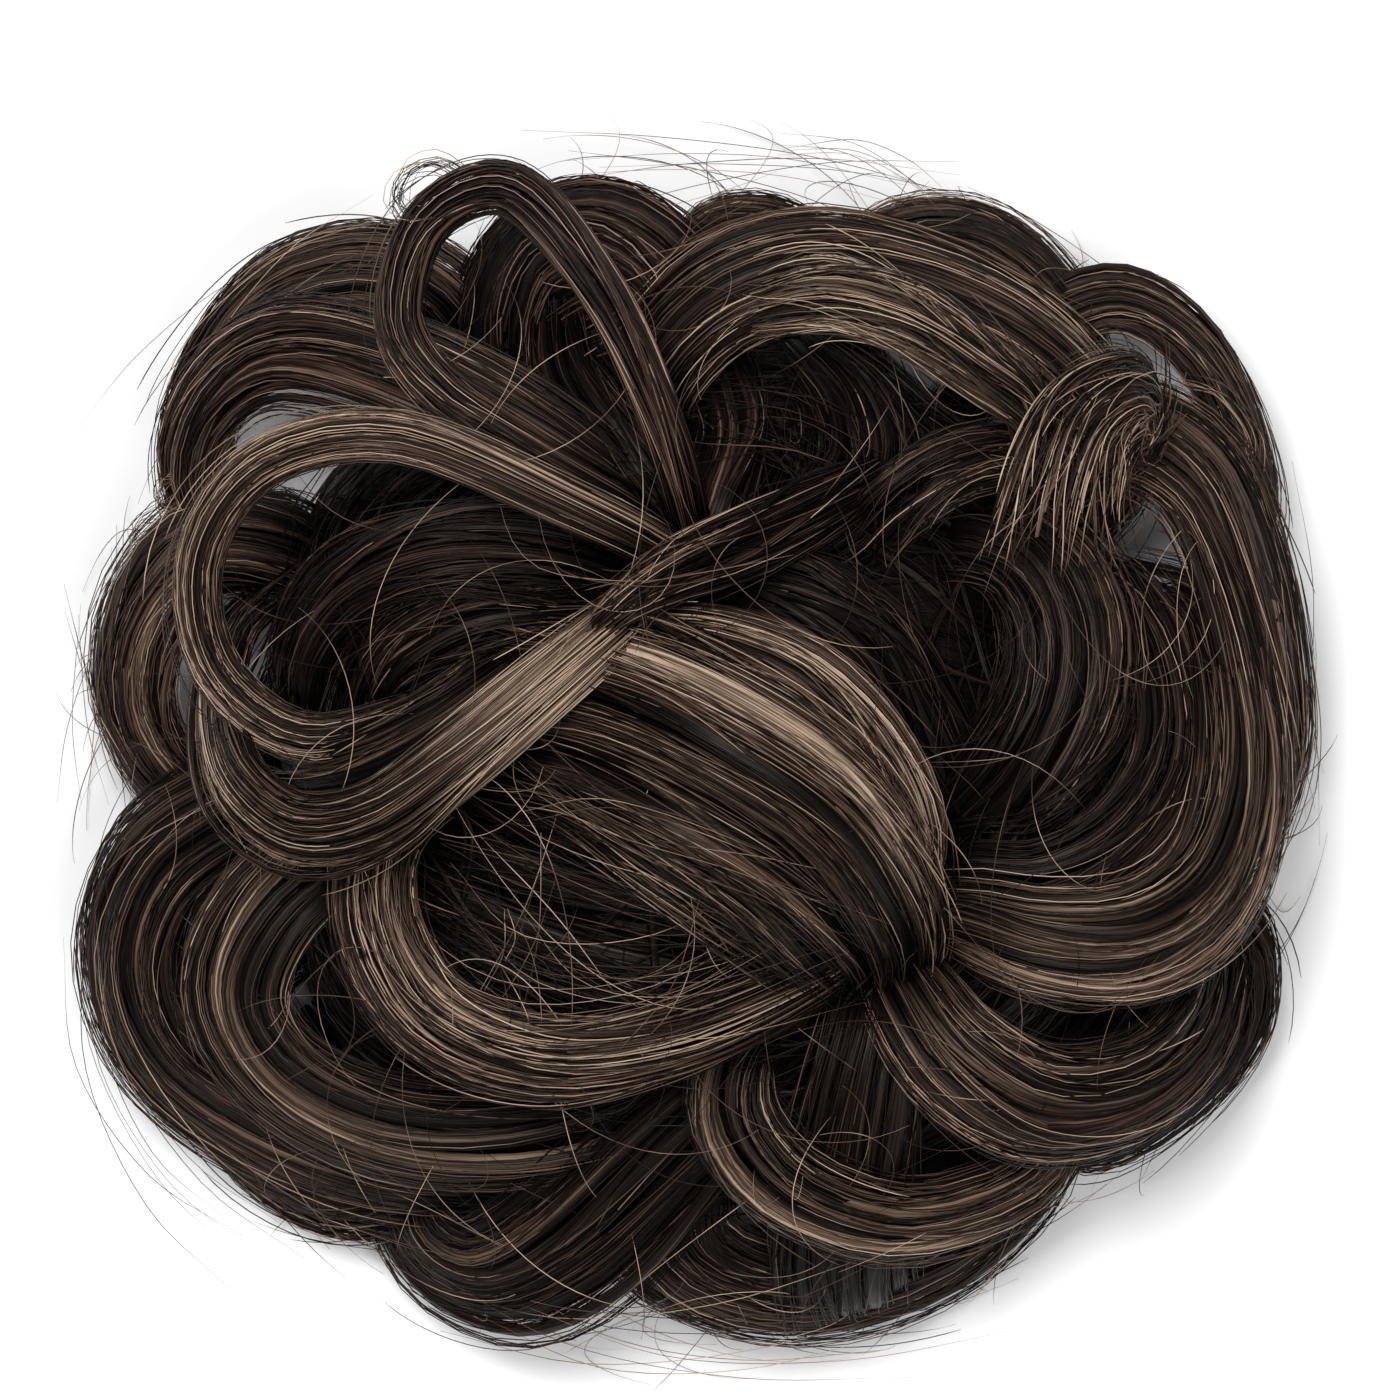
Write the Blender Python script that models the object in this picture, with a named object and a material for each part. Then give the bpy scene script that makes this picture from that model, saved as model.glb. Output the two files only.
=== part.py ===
"""A top knot hairpiece: loops of synthetic hair sewn by a weft to an elastic band, lying on its underside.

Metres, +Z up. The origin is the middle of the underside, on the axis of the elastic band.
"""

import math

import bmesh
import bpy
import numpy as np

# Overall sizes of the loosened bun
BUN_RADIUS = 0.078
BUN_HEIGHT = 0.075

# Elastic band that the wearer's own bun goes through
BAND_RING_RADIUS = 0.0215
BAND_WIRE_RADIUS = 0.0028
BAND_FLOOR_GAP = 0.0005
BAND_FIT = 0.0003

# Sewn weft around the elastic band, which rests on the head or on a table
WEFT_WIDTH = 0.0115
WEFT_HEIGHT = 0.0075
WEFT_EDGE = 0.0008

# Dense hair that the locks grow from, with a pocket for the wearer's own bun
CORE_RADIUS = 0.062
CORE_TOP = 0.049
CORE_BASE = 0.0035
CORE_LOBES = 10
CORE_LOBE_DEPTH = 0.0020
POCKET_RADIUS = 0.0205
POCKET_DEPTH = 0.030

# Locks
LOCK_GAP = 0.00035
CORE_GAP = 0.0007
SECTION_STEP = 0.0114
LOCK_SIDES = 8
TIP_SHARE = 0.35
FACING_DEPTH = 0.55

# Each lock has its width and thickness in the middle, the shares of that width at its root and at its end,
# and a row for each place that it passes: x and y as shares of BUN_RADIUS, z as a share of BUN_HEIGHT.
LOCKS = {
    "crown": dict(width=0.0270, thick=0.0110, root=0.85, end=0.35, rows=[
        (-0.40, 0.09, 0.42), (-0.29, 0.06, 0.61), (-0.15, 0.03, 0.80), (0.01, -0.05, 0.92),
        (0.15, -0.14, 0.88), (0.25, -0.25, 0.74), (0.30, -0.34, 0.56), (0.27, -0.40, 0.38)]),
    "crown_edge": dict(width=0.0072, thick=0.0045, root=0.50, end=0.55, rows=[
        (-0.17, 0.18, 0.50), (-0.08, 0.20, 0.70), (0.04, 0.19, 0.82), (0.19, 0.13, 0.86),
        (0.31, 0.01, 0.82), (0.37, -0.12, 0.74), (0.36, -0.24, 0.62), (0.31, -0.33, 0.44)]),
    "crown_shadow": dict(width=0.0110, thick=0.0050, root=0.50, end=0.50, rows=[
        (0.00, 0.22, 0.44), (0.04, 0.28, 0.60), (0.16, 0.27, 0.67), (0.29, 0.19, 0.67),
        (0.37, 0.05, 0.61), (0.41, -0.09, 0.54), (0.37, -0.22, 0.44), (0.30, -0.28, 0.32)]),
    "loop_top": dict(width=0.0060, thick=0.0040, root=0.60, end=1.00, rows=[
        (0.00, 0.25, 0.44), (-0.01, 0.38, 0.62), (-0.07, 0.58, 0.78), (-0.16, 0.77, 0.82),
        (-0.30, 0.93, 0.78), (-0.44, 0.88, 0.73), (-0.49, 0.72, 0.70), (-0.42, 0.60, 0.70),
        (-0.27, 0.50, 0.71), (-0.12, 0.41, 0.66), (0.00, 0.31, 0.50)]),
    "loop_left": dict(width=0.0066, thick=0.0046, root=0.50, end=0.70, rows=[
        (0.02, 0.22, 0.44), (-0.03, 0.31, 0.62), (-0.22, 0.41, 0.76), (-0.49, 0.52, 0.82),
        (-0.71, 0.48, 0.76), (-0.82, 0.33, 0.68), (-0.80, 0.14, 0.61), (-0.66, 0.02, 0.59),
        (-0.47, 0.05, 0.60), (-0.27, 0.14, 0.62), (-0.10, 0.20, 0.46)]),
    "loop_left_low": dict(width=0.0085, thick=0.0048, root=0.50, end=0.55, rows=[
        (-0.04, 0.27, 0.52), (-0.11, 0.22, 0.78), (-0.24, 0.11, 0.89), (-0.38, -0.01, 0.90),
        (-0.52, -0.11, 0.83), (-0.65, -0.13, 0.74), (-0.75, -0.06, 0.66), (-0.79, 0.06, 0.50),
        (-0.77, 0.20, 0.42), (-0.66, 0.30, 0.34)]),
    "inner_left": dict(width=0.0115, thick=0.0050, root=0.50, end=0.80, rows=[
        (-0.02, 0.25, 0.42), (-0.10, 0.29, 0.57), (-0.26, 0.33, 0.64), (-0.44, 0.32, 0.65),
        (-0.59, 0.25, 0.59), (-0.66, 0.13, 0.48), (-0.62, 0.02, 0.34)]),
    "inner_left_fan": dict(width=0.0105, thick=0.0045, root=0.45, end=0.80, rows=[
        (-0.09, 0.24, 0.42), (-0.17, 0.20, 0.56), (-0.30, 0.12, 0.66), (-0.44, 0.03, 0.68),
        (-0.57, -0.03, 0.62), (-0.66, -0.04, 0.50), (-0.66, 0.00, 0.36)]),
    "hoop_low": dict(width=0.0092, thick=0.0055, root=0.50, end=0.55, rows=[
        (0.30, -0.30, 0.40), (0.27, -0.34, 0.54), (0.13, -0.42, 0.66), (-0.05, -0.49, 0.73),
        (-0.25, -0.51, 0.75), (-0.43, -0.44, 0.73), (-0.52, -0.30, 0.70), (-0.52, -0.16, 0.64),
        (-0.43, -0.06, 0.54), (-0.30, -0.02, 0.40)]),
    "petal_left_inner": dict(width=0.0170, thick=0.0070, root=0.55, end=0.45, rows=[
        (-0.42, -0.08, 0.40), (-0.57, -0.14, 0.52), (-0.71, -0.25, 0.53), (-0.77, -0.40, 0.49),
        (-0.69, -0.54, 0.45), (-0.51, -0.63, 0.44), (-0.28, -0.64, 0.45), (-0.03, -0.57, 0.46),
        (0.17, -0.46, 0.42), (0.27, -0.36, 0.32)]),
    "petal_left_low": dict(width=0.0200, thick=0.0080, root=0.50, end=0.50, rows=[
        (-0.56, 0.00, 0.34), (-0.75, -0.09, 0.40), (-0.89, -0.19, 0.37), (-0.94, -0.35, 0.32),
        (-0.88, -0.51, 0.28), (-0.72, -0.63, 0.26), (-0.52, -0.71, 0.26), (-0.29, -0.72, 0.27),
        (-0.12, -0.60, 0.24)]),
    "petal_bottom_left": dict(width=0.0160, thick=0.0070, root=0.50, end=0.50, rows=[
        (-0.26, -0.52, 0.20), (-0.42, -0.68, 0.22), (-0.59, -0.74, 0.18), (-0.74, -0.66, 0.13),
        (-0.80, -0.50, 0.10), (-0.73, -0.34, 0.09), (-0.54, -0.24, 0.12)]),
    "petal_bottom": dict(width=0.0200, thick=0.0080, root=0.45, end=0.55, rows=[
        (0.22, -0.38, 0.36), (0.11, -0.52, 0.46), (-0.04, -0.67, 0.44), (-0.19, -0.82, 0.36),
        (-0.33, -0.89, 0.26), (-0.45, -0.83, 0.17), (-0.46, -0.69, 0.12), (-0.36, -0.54, 0.12)]),
    "petal_bottom_mid": dict(width=0.0190, thick=0.0070, root=0.40, end=0.60, rows=[
        (0.29, -0.36, 0.40), (0.30, -0.45, 0.53), (0.28, -0.57, 0.53), (0.26, -0.69, 0.46),
        (0.25, -0.82, 0.35), (0.26, -0.91, 0.22), (0.26, -0.87, 0.10), (0.26, -0.68, 0.08)]),
    "petal_bottom_right": dict(width=0.0130, thick=0.0065, root=0.50, end=0.60, rows=[
        (0.17, -0.40, 0.42), (0.07, -0.49, 0.55), (0.06, -0.61, 0.56), (0.15, -0.72, 0.52),
        (0.31, -0.78, 0.46), (0.46, -0.76, 0.38), (0.58, -0.69, 0.29), (0.61, -0.56, 0.22),
        (0.52, -0.46, 0.18)]),
    "petal_bottom_right_low": dict(width=0.0180, thick=0.0075, root=0.50, end=0.50, rows=[
        (0.06, -0.50, 0.36), (-0.03, -0.67, 0.34), (-0.03, -0.83, 0.30), (0.12, -0.905, 0.24),
        (0.31, -0.89, 0.18), (0.48, -0.80, 0.13), (0.56, -0.67, 0.10), (0.48, -0.52, 0.10)]),
    "petal_low_right": dict(width=0.0165, thick=0.0065, root=0.35, end=0.60, rows=[
        (0.31, -0.34, 0.40), (0.35, -0.40, 0.55), (0.43, -0.51, 0.60), (0.57, -0.59, 0.56),
        (0.73, -0.57, 0.46), (0.84, -0.47, 0.36), (0.86, -0.33, 0.27), (0.74, -0.24, 0.20)]),
    "petal_low_right_outer": dict(width=0.0150, thick=0.0065, root=0.50, end=0.50, rows=[
        (0.50, -0.22, 0.16), (0.64, -0.24, 0.20), (0.78, -0.25, 0.20), (0.90, -0.33, 0.19), (0.91, -0.46, 0.16),
        (0.82, -0.58, 0.13), (0.68, -0.66, 0.10), (0.53, -0.61, 0.09)]),
    "petal_right_low": dict(width=0.0160, thick=0.0070, root=0.40, end=0.60, rows=[
        (0.34, -0.30, 0.40), (0.42, -0.27, 0.56), (0.57, -0.32, 0.64), (0.73, -0.32, 0.62),
        (0.85, -0.24, 0.54), (0.91, -0.09, 0.46), (0.91, 0.08, 0.40), (0.86, 0.24, 0.32),
        (0.71, 0.30, 0.24)]),
    "petal_right_inner": dict(width=0.0140, thick=0.0065, root=0.45, end=0.60, rows=[
        (0.33, -0.24, 0.38), (0.43, -0.20, 0.53), (0.57, -0.21, 0.57), (0.70, -0.14, 0.55),
        (0.78, -0.02, 0.51), (0.78, 0.13, 0.45), (0.71, 0.26, 0.37), (0.58, 0.30, 0.28)]),
    "swirl_right": dict(width=0.0165, thick=0.0070, root=0.50, end=0.45, rows=[
        (0.32, 0.31, 0.34), (0.43, 0.36, 0.46), (0.55, 0.32, 0.53), (0.61, 0.21, 0.57),
        (0.60, 0.08, 0.58), (0.53, -0.05, 0.56), (0.43, -0.14, 0.50), (0.35, -0.20, 0.38)]),
    "petal_right": dict(width=0.0190, thick=0.0075, root=0.50, end=0.50, rows=[
        (0.46, 0.34, 0.24), (0.60, 0.48, 0.36), (0.72, 0.53, 0.44), (0.84, 0.46, 0.44), (0.91, 0.31, 0.40),
        (0.95, 0.14, 0.33), (0.96, -0.03, 0.25), (0.89, -0.17, 0.17), (0.72, -0.20, 0.13)]),
    "petal_top_right": dict(width=0.0100, thick=0.0055, root=0.60, end=0.60, rows=[
        (0.36, 0.44, 0.16), (0.46, 0.60, 0.22), (0.57, 0.71, 0.27), (0.71, 0.76, 0.28), (0.84, 0.68, 0.26),
        (0.92, 0.53, 0.23), (0.94, 0.38, 0.18), (0.85, 0.24, 0.12), (0.66, 0.22, 0.10)]),
    "sweep_top": dict(width=0.0175, thick=0.0065, root=0.55, end=0.50, rows=[
        (-0.08, 0.50, 0.34), (-0.08, 0.63, 0.49), (0.03, 0.75, 0.58), (0.18, 0.80, 0.60),
        (0.34, 0.78, 0.58), (0.51, 0.71, 0.54), (0.64, 0.60, 0.48), (0.71, 0.46, 0.38),
        (0.62, 0.34, 0.28)]),
    "flick_top": dict(width=0.0080, thick=0.0038, root=0.60, end=0.50, rows=[
        (0.40, 0.32, 0.36), (0.54, 0.46, 0.50), (0.55, 0.57, 0.62), (0.48, 0.63, 0.69), (0.36, 0.71, 0.73),
        (0.22, 0.75, 0.74), (0.09, 0.73, 0.71)]),
    "flick_inner": dict(width=0.0080, thick=0.0038, root=0.60, end=0.60, rows=[
        (0.42, 0.30, 0.34), (0.56, 0.42, 0.48), (0.54, 0.49, 0.60), (0.44, 0.48, 0.65), (0.34, 0.42, 0.66),
        (0.26, 0.33, 0.61)]),
    "flick_right": dict(width=0.0085, thick=0.0045, root=0.50, end=0.90, rows=[
        (0.46, 0.36, 0.32), (0.63, 0.46, 0.46), (0.74, 0.545, 0.58), (0.72, 0.58, 0.66), (0.65, 0.53, 0.70),
        (0.605, 0.42, 0.705), (0.585, 0.31, 0.66)]),
    "twist": dict(width=0.0070, thick=0.0050, root=0.40, end=0.40, rows=[
        (0.38, 0.46, 0.36), (0.32, 0.46, 0.52), (0.21, 0.40, 0.65), (0.075, 0.333, 0.74), (-0.025, 0.292, 0.80),
        (-0.12, 0.235, 0.86), (-0.20, 0.165, 0.80)]),
    "hump_top_left": dict(width=0.0150, thick=0.0060, root=0.60, end=0.60, rows=[
        (-0.30, 0.52, 0.26), (-0.34, 0.70, 0.38), (-0.28, 0.84, 0.44), (-0.17, 0.88, 0.47),
        (-0.06, 0.82, 0.47), (0.00, 0.70, 0.42), (-0.01, 0.55, 0.32)]),
    "hump_top_mid": dict(width=0.0080, thick=0.0050, root=0.60, end=0.60, rows=[
        (-0.06, 0.58, 0.20), (-0.05, 0.76, 0.31), (0.02, 0.87, 0.36), (0.12, 0.885, 0.37),
        (0.21, 0.82, 0.34), (0.27, 0.68, 0.27), (0.29, 0.54, 0.20)]),
    "hump_top_right": dict(width=0.0130, thick=0.0060, root=0.60, end=0.60, rows=[
        (0.22, 0.55, 0.16), (0.24, 0.74, 0.24), (0.34, 0.85, 0.28), (0.48, 0.85, 0.30),
        (0.60, 0.75, 0.27), (0.65, 0.60, 0.21), (0.58, 0.46, 0.17)]),
    "petal_left_top": dict(width=0.0150, thick=0.0060, root=0.40, end=0.60, rows=[
        (0.00, 0.30, 0.42), (-0.09, 0.40, 0.55), (-0.28, 0.53, 0.62), (-0.49, 0.63, 0.60),
        (-0.68, 0.67, 0.53), (-0.80, 0.60, 0.44), (-0.85, 0.47, 0.33), (-0.78, 0.34, 0.22),
        (-0.62, 0.30, 0.18)]),
    "petal_top_left": dict(width=0.0160, thick=0.0065, root=0.55, end=0.55, rows=[
        (-0.32, 0.55, 0.20), (-0.39, 0.72, 0.32), (-0.52, 0.80, 0.36), (-0.68, 0.77, 0.34),
        (-0.79, 0.66, 0.28), (-0.84, 0.52, 0.21), (-0.76, 0.38, 0.14), (-0.58, 0.30, 0.12)]),
    "petal_left": dict(width=0.0160, thick=0.0065, root=0.55, end=0.55, rows=[
        (-0.54, 0.26, 0.18), (-0.69, 0.33, 0.31), (-0.83, 0.33, 0.35), (-0.92, 0.21, 0.33),
        (-0.93, 0.06, 0.27), (-0.84, -0.07, 0.21), (-0.66, -0.10, 0.16)]),
}


def clear_scene():
    for obj in list(bpy.data.objects):
        bpy.data.objects.remove(obj)


def new_collection(name):
    collection = bpy.data.collections.new(name)
    bpy.context.scene.collection.children.link(collection)
    return collection


def new_material(name, colour, roughness, metallic=0.0):
    material = bpy.data.materials.new(name)
    material.use_nodes = True
    shader = material.node_tree.nodes["Principled BSDF"]
    shader.inputs["Base Color"].default_value = (*colour, 1.0)
    shader.inputs["Roughness"].default_value = roughness
    shader.inputs["Metallic"].default_value = metallic
    return material


def new_object(name, mesh, collection, material=None):
    obj = bpy.data.objects.new(name, mesh)
    collection.objects.link(obj)
    if material is not None:
        mesh.materials.append(material)
    return obj


def as_cutter(obj):
    obj.hide_render = True
    obj.display_type = "WIRE"
    return obj


def unit(vectors):
    return vectors / np.linalg.norm(vectors, axis=-1, keepdims=True)


def smooth_path(points, step):
    """A smooth curve through the points, as points about step apart: Catmull-Rom spans, spaced evenly again."""
    ends = np.array([2 * points[0] - points[1], 2 * points[-1] - points[-2]])
    knots = np.vstack([ends[:1], points, ends[1:]])
    spans = []
    for a, b, c, d in zip(knots, knots[1:], knots[2:], knots[3:]):
        t = np.linspace(0, 1, 24, endpoint=False)[:, None]
        spans.append(
            0.5 * (2 * b + (c - a) * t + (2 * a - 5 * b + 4 * c - d) * t**2 + (3 * b - a - 3 * c + d) * t**3)
        )
    dense = np.vstack([*spans, points[-1:]])
    along = np.concatenate([[0], np.cumsum(np.linalg.norm(np.diff(dense, axis=0), axis=1))])
    count = max(6, math.ceil(along[-1] / step)) + 1
    return np.stack([np.interp(np.linspace(0, along[-1], count), along, dense[:, k]) for k in range(3)], axis=1)


def lock_frames(path):
    """Tangent, flat side and side direction at each point. The flat side faces away from the middle of the bun."""
    tangents = unit(np.gradient(path, axis=0))
    middle = np.array([0, 0, -FACING_DEPTH * BUN_HEIGHT])
    outward = unit(path - middle)
    facing = np.zeros_like(path)
    half = len(path) // 2
    for order in (range(half, len(path)), range(half, -1, -1)):
        last = outward[half]
        for i in order:
            wanted = outward[i] - tangents[i] * (outward[i] @ tangents[i])
            carried = last - tangents[i] * (last @ tangents[i])
            share = 0.35 * (wanted @ wanted)
            last = unit(carried * (1 - share) + wanted * share)
            facing[i] = last
    return tangents, facing, unit(np.cross(tangents, facing))


def width_shares(t, root, end):
    """The lock's width along it: pinched at the root, full in the middle, and narrower again at the end."""
    swell = np.sin(np.pi * np.clip(t, 0, 1)) ** 0.7
    edge = np.where(t < 0.5, root, end)
    return edge + (1 - edge) * swell


def loft_lock(name, spec, collection, material=None, grow=0.0):
    """A closed body of elliptical sections carried along the lock's path. grow makes it fatter all round."""
    scale = np.array([BUN_RADIUS, BUN_RADIUS, BUN_HEIGHT])
    path = smooth_path(np.array(spec["rows"]) * scale, SECTION_STEP)
    tangents, facing, sideways = lock_frames(path)
    path[0] -= tangents[0] * grow
    path[-1] += tangents[-1] * grow
    shares = width_shares(np.linspace(0, 1, len(path)), spec["root"], spec["end"])
    half_width = 0.5 * spec["width"] * shares + grow
    half_thick = 0.5 * spec["thick"] * (TIP_SHARE + (1 - TIP_SHARE) * shares) + grow
    turns = np.linspace(0, 2 * np.pi, LOCK_SIDES, endpoint=False)
    rings = (
        path[:, None]
        + sideways[:, None] * (half_width[:, None] * np.cos(turns))[..., None]
        + facing[:, None] * (half_thick[:, None] * np.sin(turns))[..., None]
    )
    shape = bmesh.new()
    loops = [[shape.verts.new(point) for point in ring] for ring in rings]
    for ring, following in zip(loops, loops[1:]):
        for k in range(LOCK_SIDES):
            after = (k + 1) % LOCK_SIDES
            shape.faces.new((ring[k], ring[after], following[after], following[k]))
    shape.faces.new(loops[0][::-1])
    shape.faces.new(loops[-1])
    bmesh.ops.recalc_face_normals(shape, faces=shape.faces)
    bmesh.ops.triangulate(shape, faces=shape.faces)
    mesh = bpy.data.meshes.new(name)
    shape.to_mesh(mesh)
    shape.free()
    return new_object(name, mesh, collection, material)


def largest_body(mesh):
    """Keeps the largest connected body of a mesh, for a lock that its neighbours pinch through."""
    shape = bmesh.new()
    shape.from_mesh(mesh)
    waiting = set(shape.verts)
    bodies = []
    while waiting:
        body = []
        front = [waiting.pop()]
        while front:
            vert = front.pop()
            body.append(vert)
            for edge in vert.link_edges:
                other = edge.other_vert(vert)
                if other in waiting:
                    waiting.remove(other)
                    front.append(other)
        bodies.append(body)
    bodies.sort(key=len)
    bmesh.ops.delete(shape, geom=[vert for body in bodies[:-1] for vert in body], context="VERTS")
    shape.to_mesh(mesh)
    shape.free()


def box_of(obj):
    corners = np.array([obj.matrix_world @ vert.co for vert in obj.data.vertices])
    return corners.min(axis=0), corners.max(axis=0)


def boxes_meet(first, second):
    return bool((first[0] <= second[1]).all() and (second[0] <= first[1]).all())


def cut_back(obj, cutters):
    """Takes the cutters out of the object, and gives it the mesh that is left."""
    own = box_of(obj)
    for cutter in cutters:
        if boxes_meet(own, box_of(cutter)):
            cut = obj.modifiers.new("seat_on_" + cutter.name, "BOOLEAN")
            cut.operation = "DIFFERENCE"
            cut.object = cutter
            cut.use_self = True
    if not obj.modifiers:
        return
    bpy.context.view_layer.update()
    graph = bpy.context.evaluated_depsgraph_get()
    mesh = bpy.data.meshes.new_from_object(obj.evaluated_get(graph))
    obj.modifiers.clear()
    obj.data = mesh
    largest_body(mesh)


def turned(name, profile, collection, material=None, steps=40):
    """A body turned about Z from a profile of (radius, height), which is closed or starts and ends on the axis."""
    shape = bmesh.new()
    verts = [shape.verts.new((radius, 0, height)) for radius, height in profile]
    edges = [shape.edges.new(pair) for pair in zip(verts, verts[1:])]
    bmesh.ops.spin(shape, geom=verts + edges, cent=(0, 0, 0), axis=(0, 0, 1), angle=2 * math.pi, steps=steps)
    bmesh.ops.remove_doubles(shape, verts=shape.verts, dist=0.00001)
    bmesh.ops.recalc_face_normals(shape, faces=shape.faces)
    bmesh.ops.triangulate(shape, faces=shape.faces)
    mesh = bpy.data.meshes.new(name)
    shape.to_mesh(mesh)
    shape.free()
    return new_object(name, mesh, collection, material)


def make_elastic_band(collection, material):
    bpy.ops.mesh.primitive_torus_add(
        major_radius=BAND_RING_RADIUS,
        minor_radius=BAND_WIRE_RADIUS,
        major_segments=32,
        minor_segments=8,
        location=(0, 0, BAND_FLOOR_GAP + BAND_WIRE_RADIUS),
    )
    band = bpy.context.object
    band.name = "elastic_band"
    for owner in list(band.users_collection):
        owner.objects.unlink(band)
    collection.objects.link(band)
    band.data.materials.append(material)
    return band


def make_weft_ring(collection, material):
    """A flat-footed ring with a rounded channel in its inner wall, which the elastic band lies in."""
    channel = BAND_WIRE_RADIUS + BAND_FIT
    middle = BAND_FLOOR_GAP + BAND_WIRE_RADIUS
    outer = BAND_RING_RADIUS + WEFT_WIDTH
    bends = np.radians([-60, -30, 0, 30, 60])
    groove = [(BAND_RING_RADIUS + channel * math.cos(a), middle + channel * math.sin(a)) for a in bends]
    inner = BAND_RING_RADIUS + channel * math.cos(bends[-1])
    profile = [
        (inner, WEFT_HEIGHT),
        (outer - WEFT_EDGE, WEFT_HEIGHT),
        (outer, WEFT_HEIGHT - WEFT_EDGE),
        (outer, WEFT_EDGE),
        (outer - WEFT_EDGE, 0),
        (inner, 0),
        *groove,
        (inner, WEFT_HEIGHT),
    ]
    return turned("weft_ring", profile, collection, material)


def make_core(collection, material=None, grow=0.0):
    """A low dome with a lobed side, seated over the weft, with a pocket up into it from below."""
    weft_outer = BAND_RING_RADIUS + WEFT_WIDTH + LOCK_GAP
    seat = WEFT_HEIGHT + LOCK_GAP
    rise = CORE_TOP - CORE_BASE
    arc = [
        (math.sin(a) ** 0.8 * (CORE_RADIUS + grow), CORE_BASE + rise * math.cos(a) ** 0.9 + grow)
        for a in np.radians([0, 18, 34, 48, 60, 71, 81])
    ]
    profile = [
        *arc,
        (CORE_RADIUS + grow, CORE_BASE + 0.12 * rise),
        (CORE_RADIUS * 0.94 + grow, CORE_BASE - grow),
        (weft_outer, CORE_BASE - grow),
        (weft_outer, seat),
        (POCKET_RADIUS, seat),
        (POCKET_RADIUS * 0.97, POCKET_DEPTH * 0.72),
        (POCKET_RADIUS * 0.70, POCKET_DEPTH * 0.95),
        (0, POCKET_DEPTH),
    ]
    core = turned("hair_core" if grow == 0 else "hair_core_cutter", profile, collection, material, steps=50)
    for vert in core.data.vertices:
        radius = math.hypot(vert.co.x, vert.co.y)
        if radius <= weft_outer:
            continue
        reach = (radius - weft_outer) / (CORE_RADIUS - weft_outer)
        wave = CORE_LOBE_DEPTH * min(reach, 1.0) * (math.cos(CORE_LOBES * math.atan2(vert.co.y, vert.co.x)) - 1)
        vert.co.x *= 1 + wave / radius
        vert.co.y *= 1 + wave / radius
    return core


def mean_height(spec):
    return sum(row[2] for row in spec["rows"]) / len(spec["rows"])


def make_hairpiece():
    parts = new_collection("top_knot_hairpiece")
    cutters = new_collection("cutters")
    elastic = new_material("elastic", (0.012, 0.010, 0.010), 0.85)
    weft = new_material("weft", (0.030, 0.020, 0.015), 0.90)
    hair = new_material("hair", (0.060, 0.040, 0.028), 0.42)
    light_hair = new_material("light_hair", (0.330, 0.215, 0.130), 0.38)

    make_elastic_band(parts, elastic)
    make_weft_ring(parts, weft)
    make_core(parts, hair)
    in_the_way = [as_cutter(make_core(cutters, grow=CORE_GAP))]
    lit = ("loop_left", "loop_left_low", "crown_edge", "flick_top", "flick_right")
    # The highest locks come first: those below are cut to lie against them.
    for name in sorted(LOCKS, key=lambda n: -mean_height(LOCKS[n])):
        lock = loft_lock(name, LOCKS[name], parts, light_hair if name in lit else hair)
        cut_back(lock, in_the_way)
        in_the_way.append(as_cutter(loft_lock(name + "_cutter", LOCKS[name], cutters, grow=LOCK_GAP)))


clear_scene()
make_hairpiece()
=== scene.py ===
import bpy
import numpy as np
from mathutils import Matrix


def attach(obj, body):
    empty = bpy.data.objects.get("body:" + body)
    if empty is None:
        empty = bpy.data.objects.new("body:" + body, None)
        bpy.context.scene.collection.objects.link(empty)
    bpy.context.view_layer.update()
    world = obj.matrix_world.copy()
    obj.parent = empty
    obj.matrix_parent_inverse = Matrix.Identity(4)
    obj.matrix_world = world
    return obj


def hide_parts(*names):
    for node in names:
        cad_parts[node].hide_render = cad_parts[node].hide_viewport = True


# Top knot hairpiece: every lock is a bundle of clumps and single hairs laid along its own path.
# Row values are percent: x and y of the bun's radius, z of its height. Widths are in millimetres.

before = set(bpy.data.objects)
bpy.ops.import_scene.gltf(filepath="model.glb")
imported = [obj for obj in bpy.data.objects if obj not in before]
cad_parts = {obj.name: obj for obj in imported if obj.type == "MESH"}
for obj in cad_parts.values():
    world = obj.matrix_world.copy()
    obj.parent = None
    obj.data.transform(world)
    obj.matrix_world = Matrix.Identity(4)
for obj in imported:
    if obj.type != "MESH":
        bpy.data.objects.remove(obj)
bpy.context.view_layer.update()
scene = bpy.context.scene
print("frame loaded, nodes:", len(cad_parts))

bun = {
    "radius": 0.078,
    "height": 0.075,
    "hairThickness": 0.00017,   # diameter of one hair as it shows
    "facingDepth": 0.041,       # the locks' flat sides face away from this far below the table
    "tableGap": 0.0002,         # lowest height of any hair
    "shell": (0.083, 0.072),    # radius and height of the dome that the outer hair lies on
    "deepShade": 1.6,           # painted shade: how much darker the hair is made below that dome
    "deepFrom": 0.93,           # share of the dome where it starts to darken
    "deepReach": 0.3,           # share of the dome over which it darkens
    "pathPoints": 72,           # points of each lock's smooth path
    "bendWeight": 0.02,         # metres of path that one radian of bending counts as, for spacing samples
    "seed": 41,
}

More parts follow.
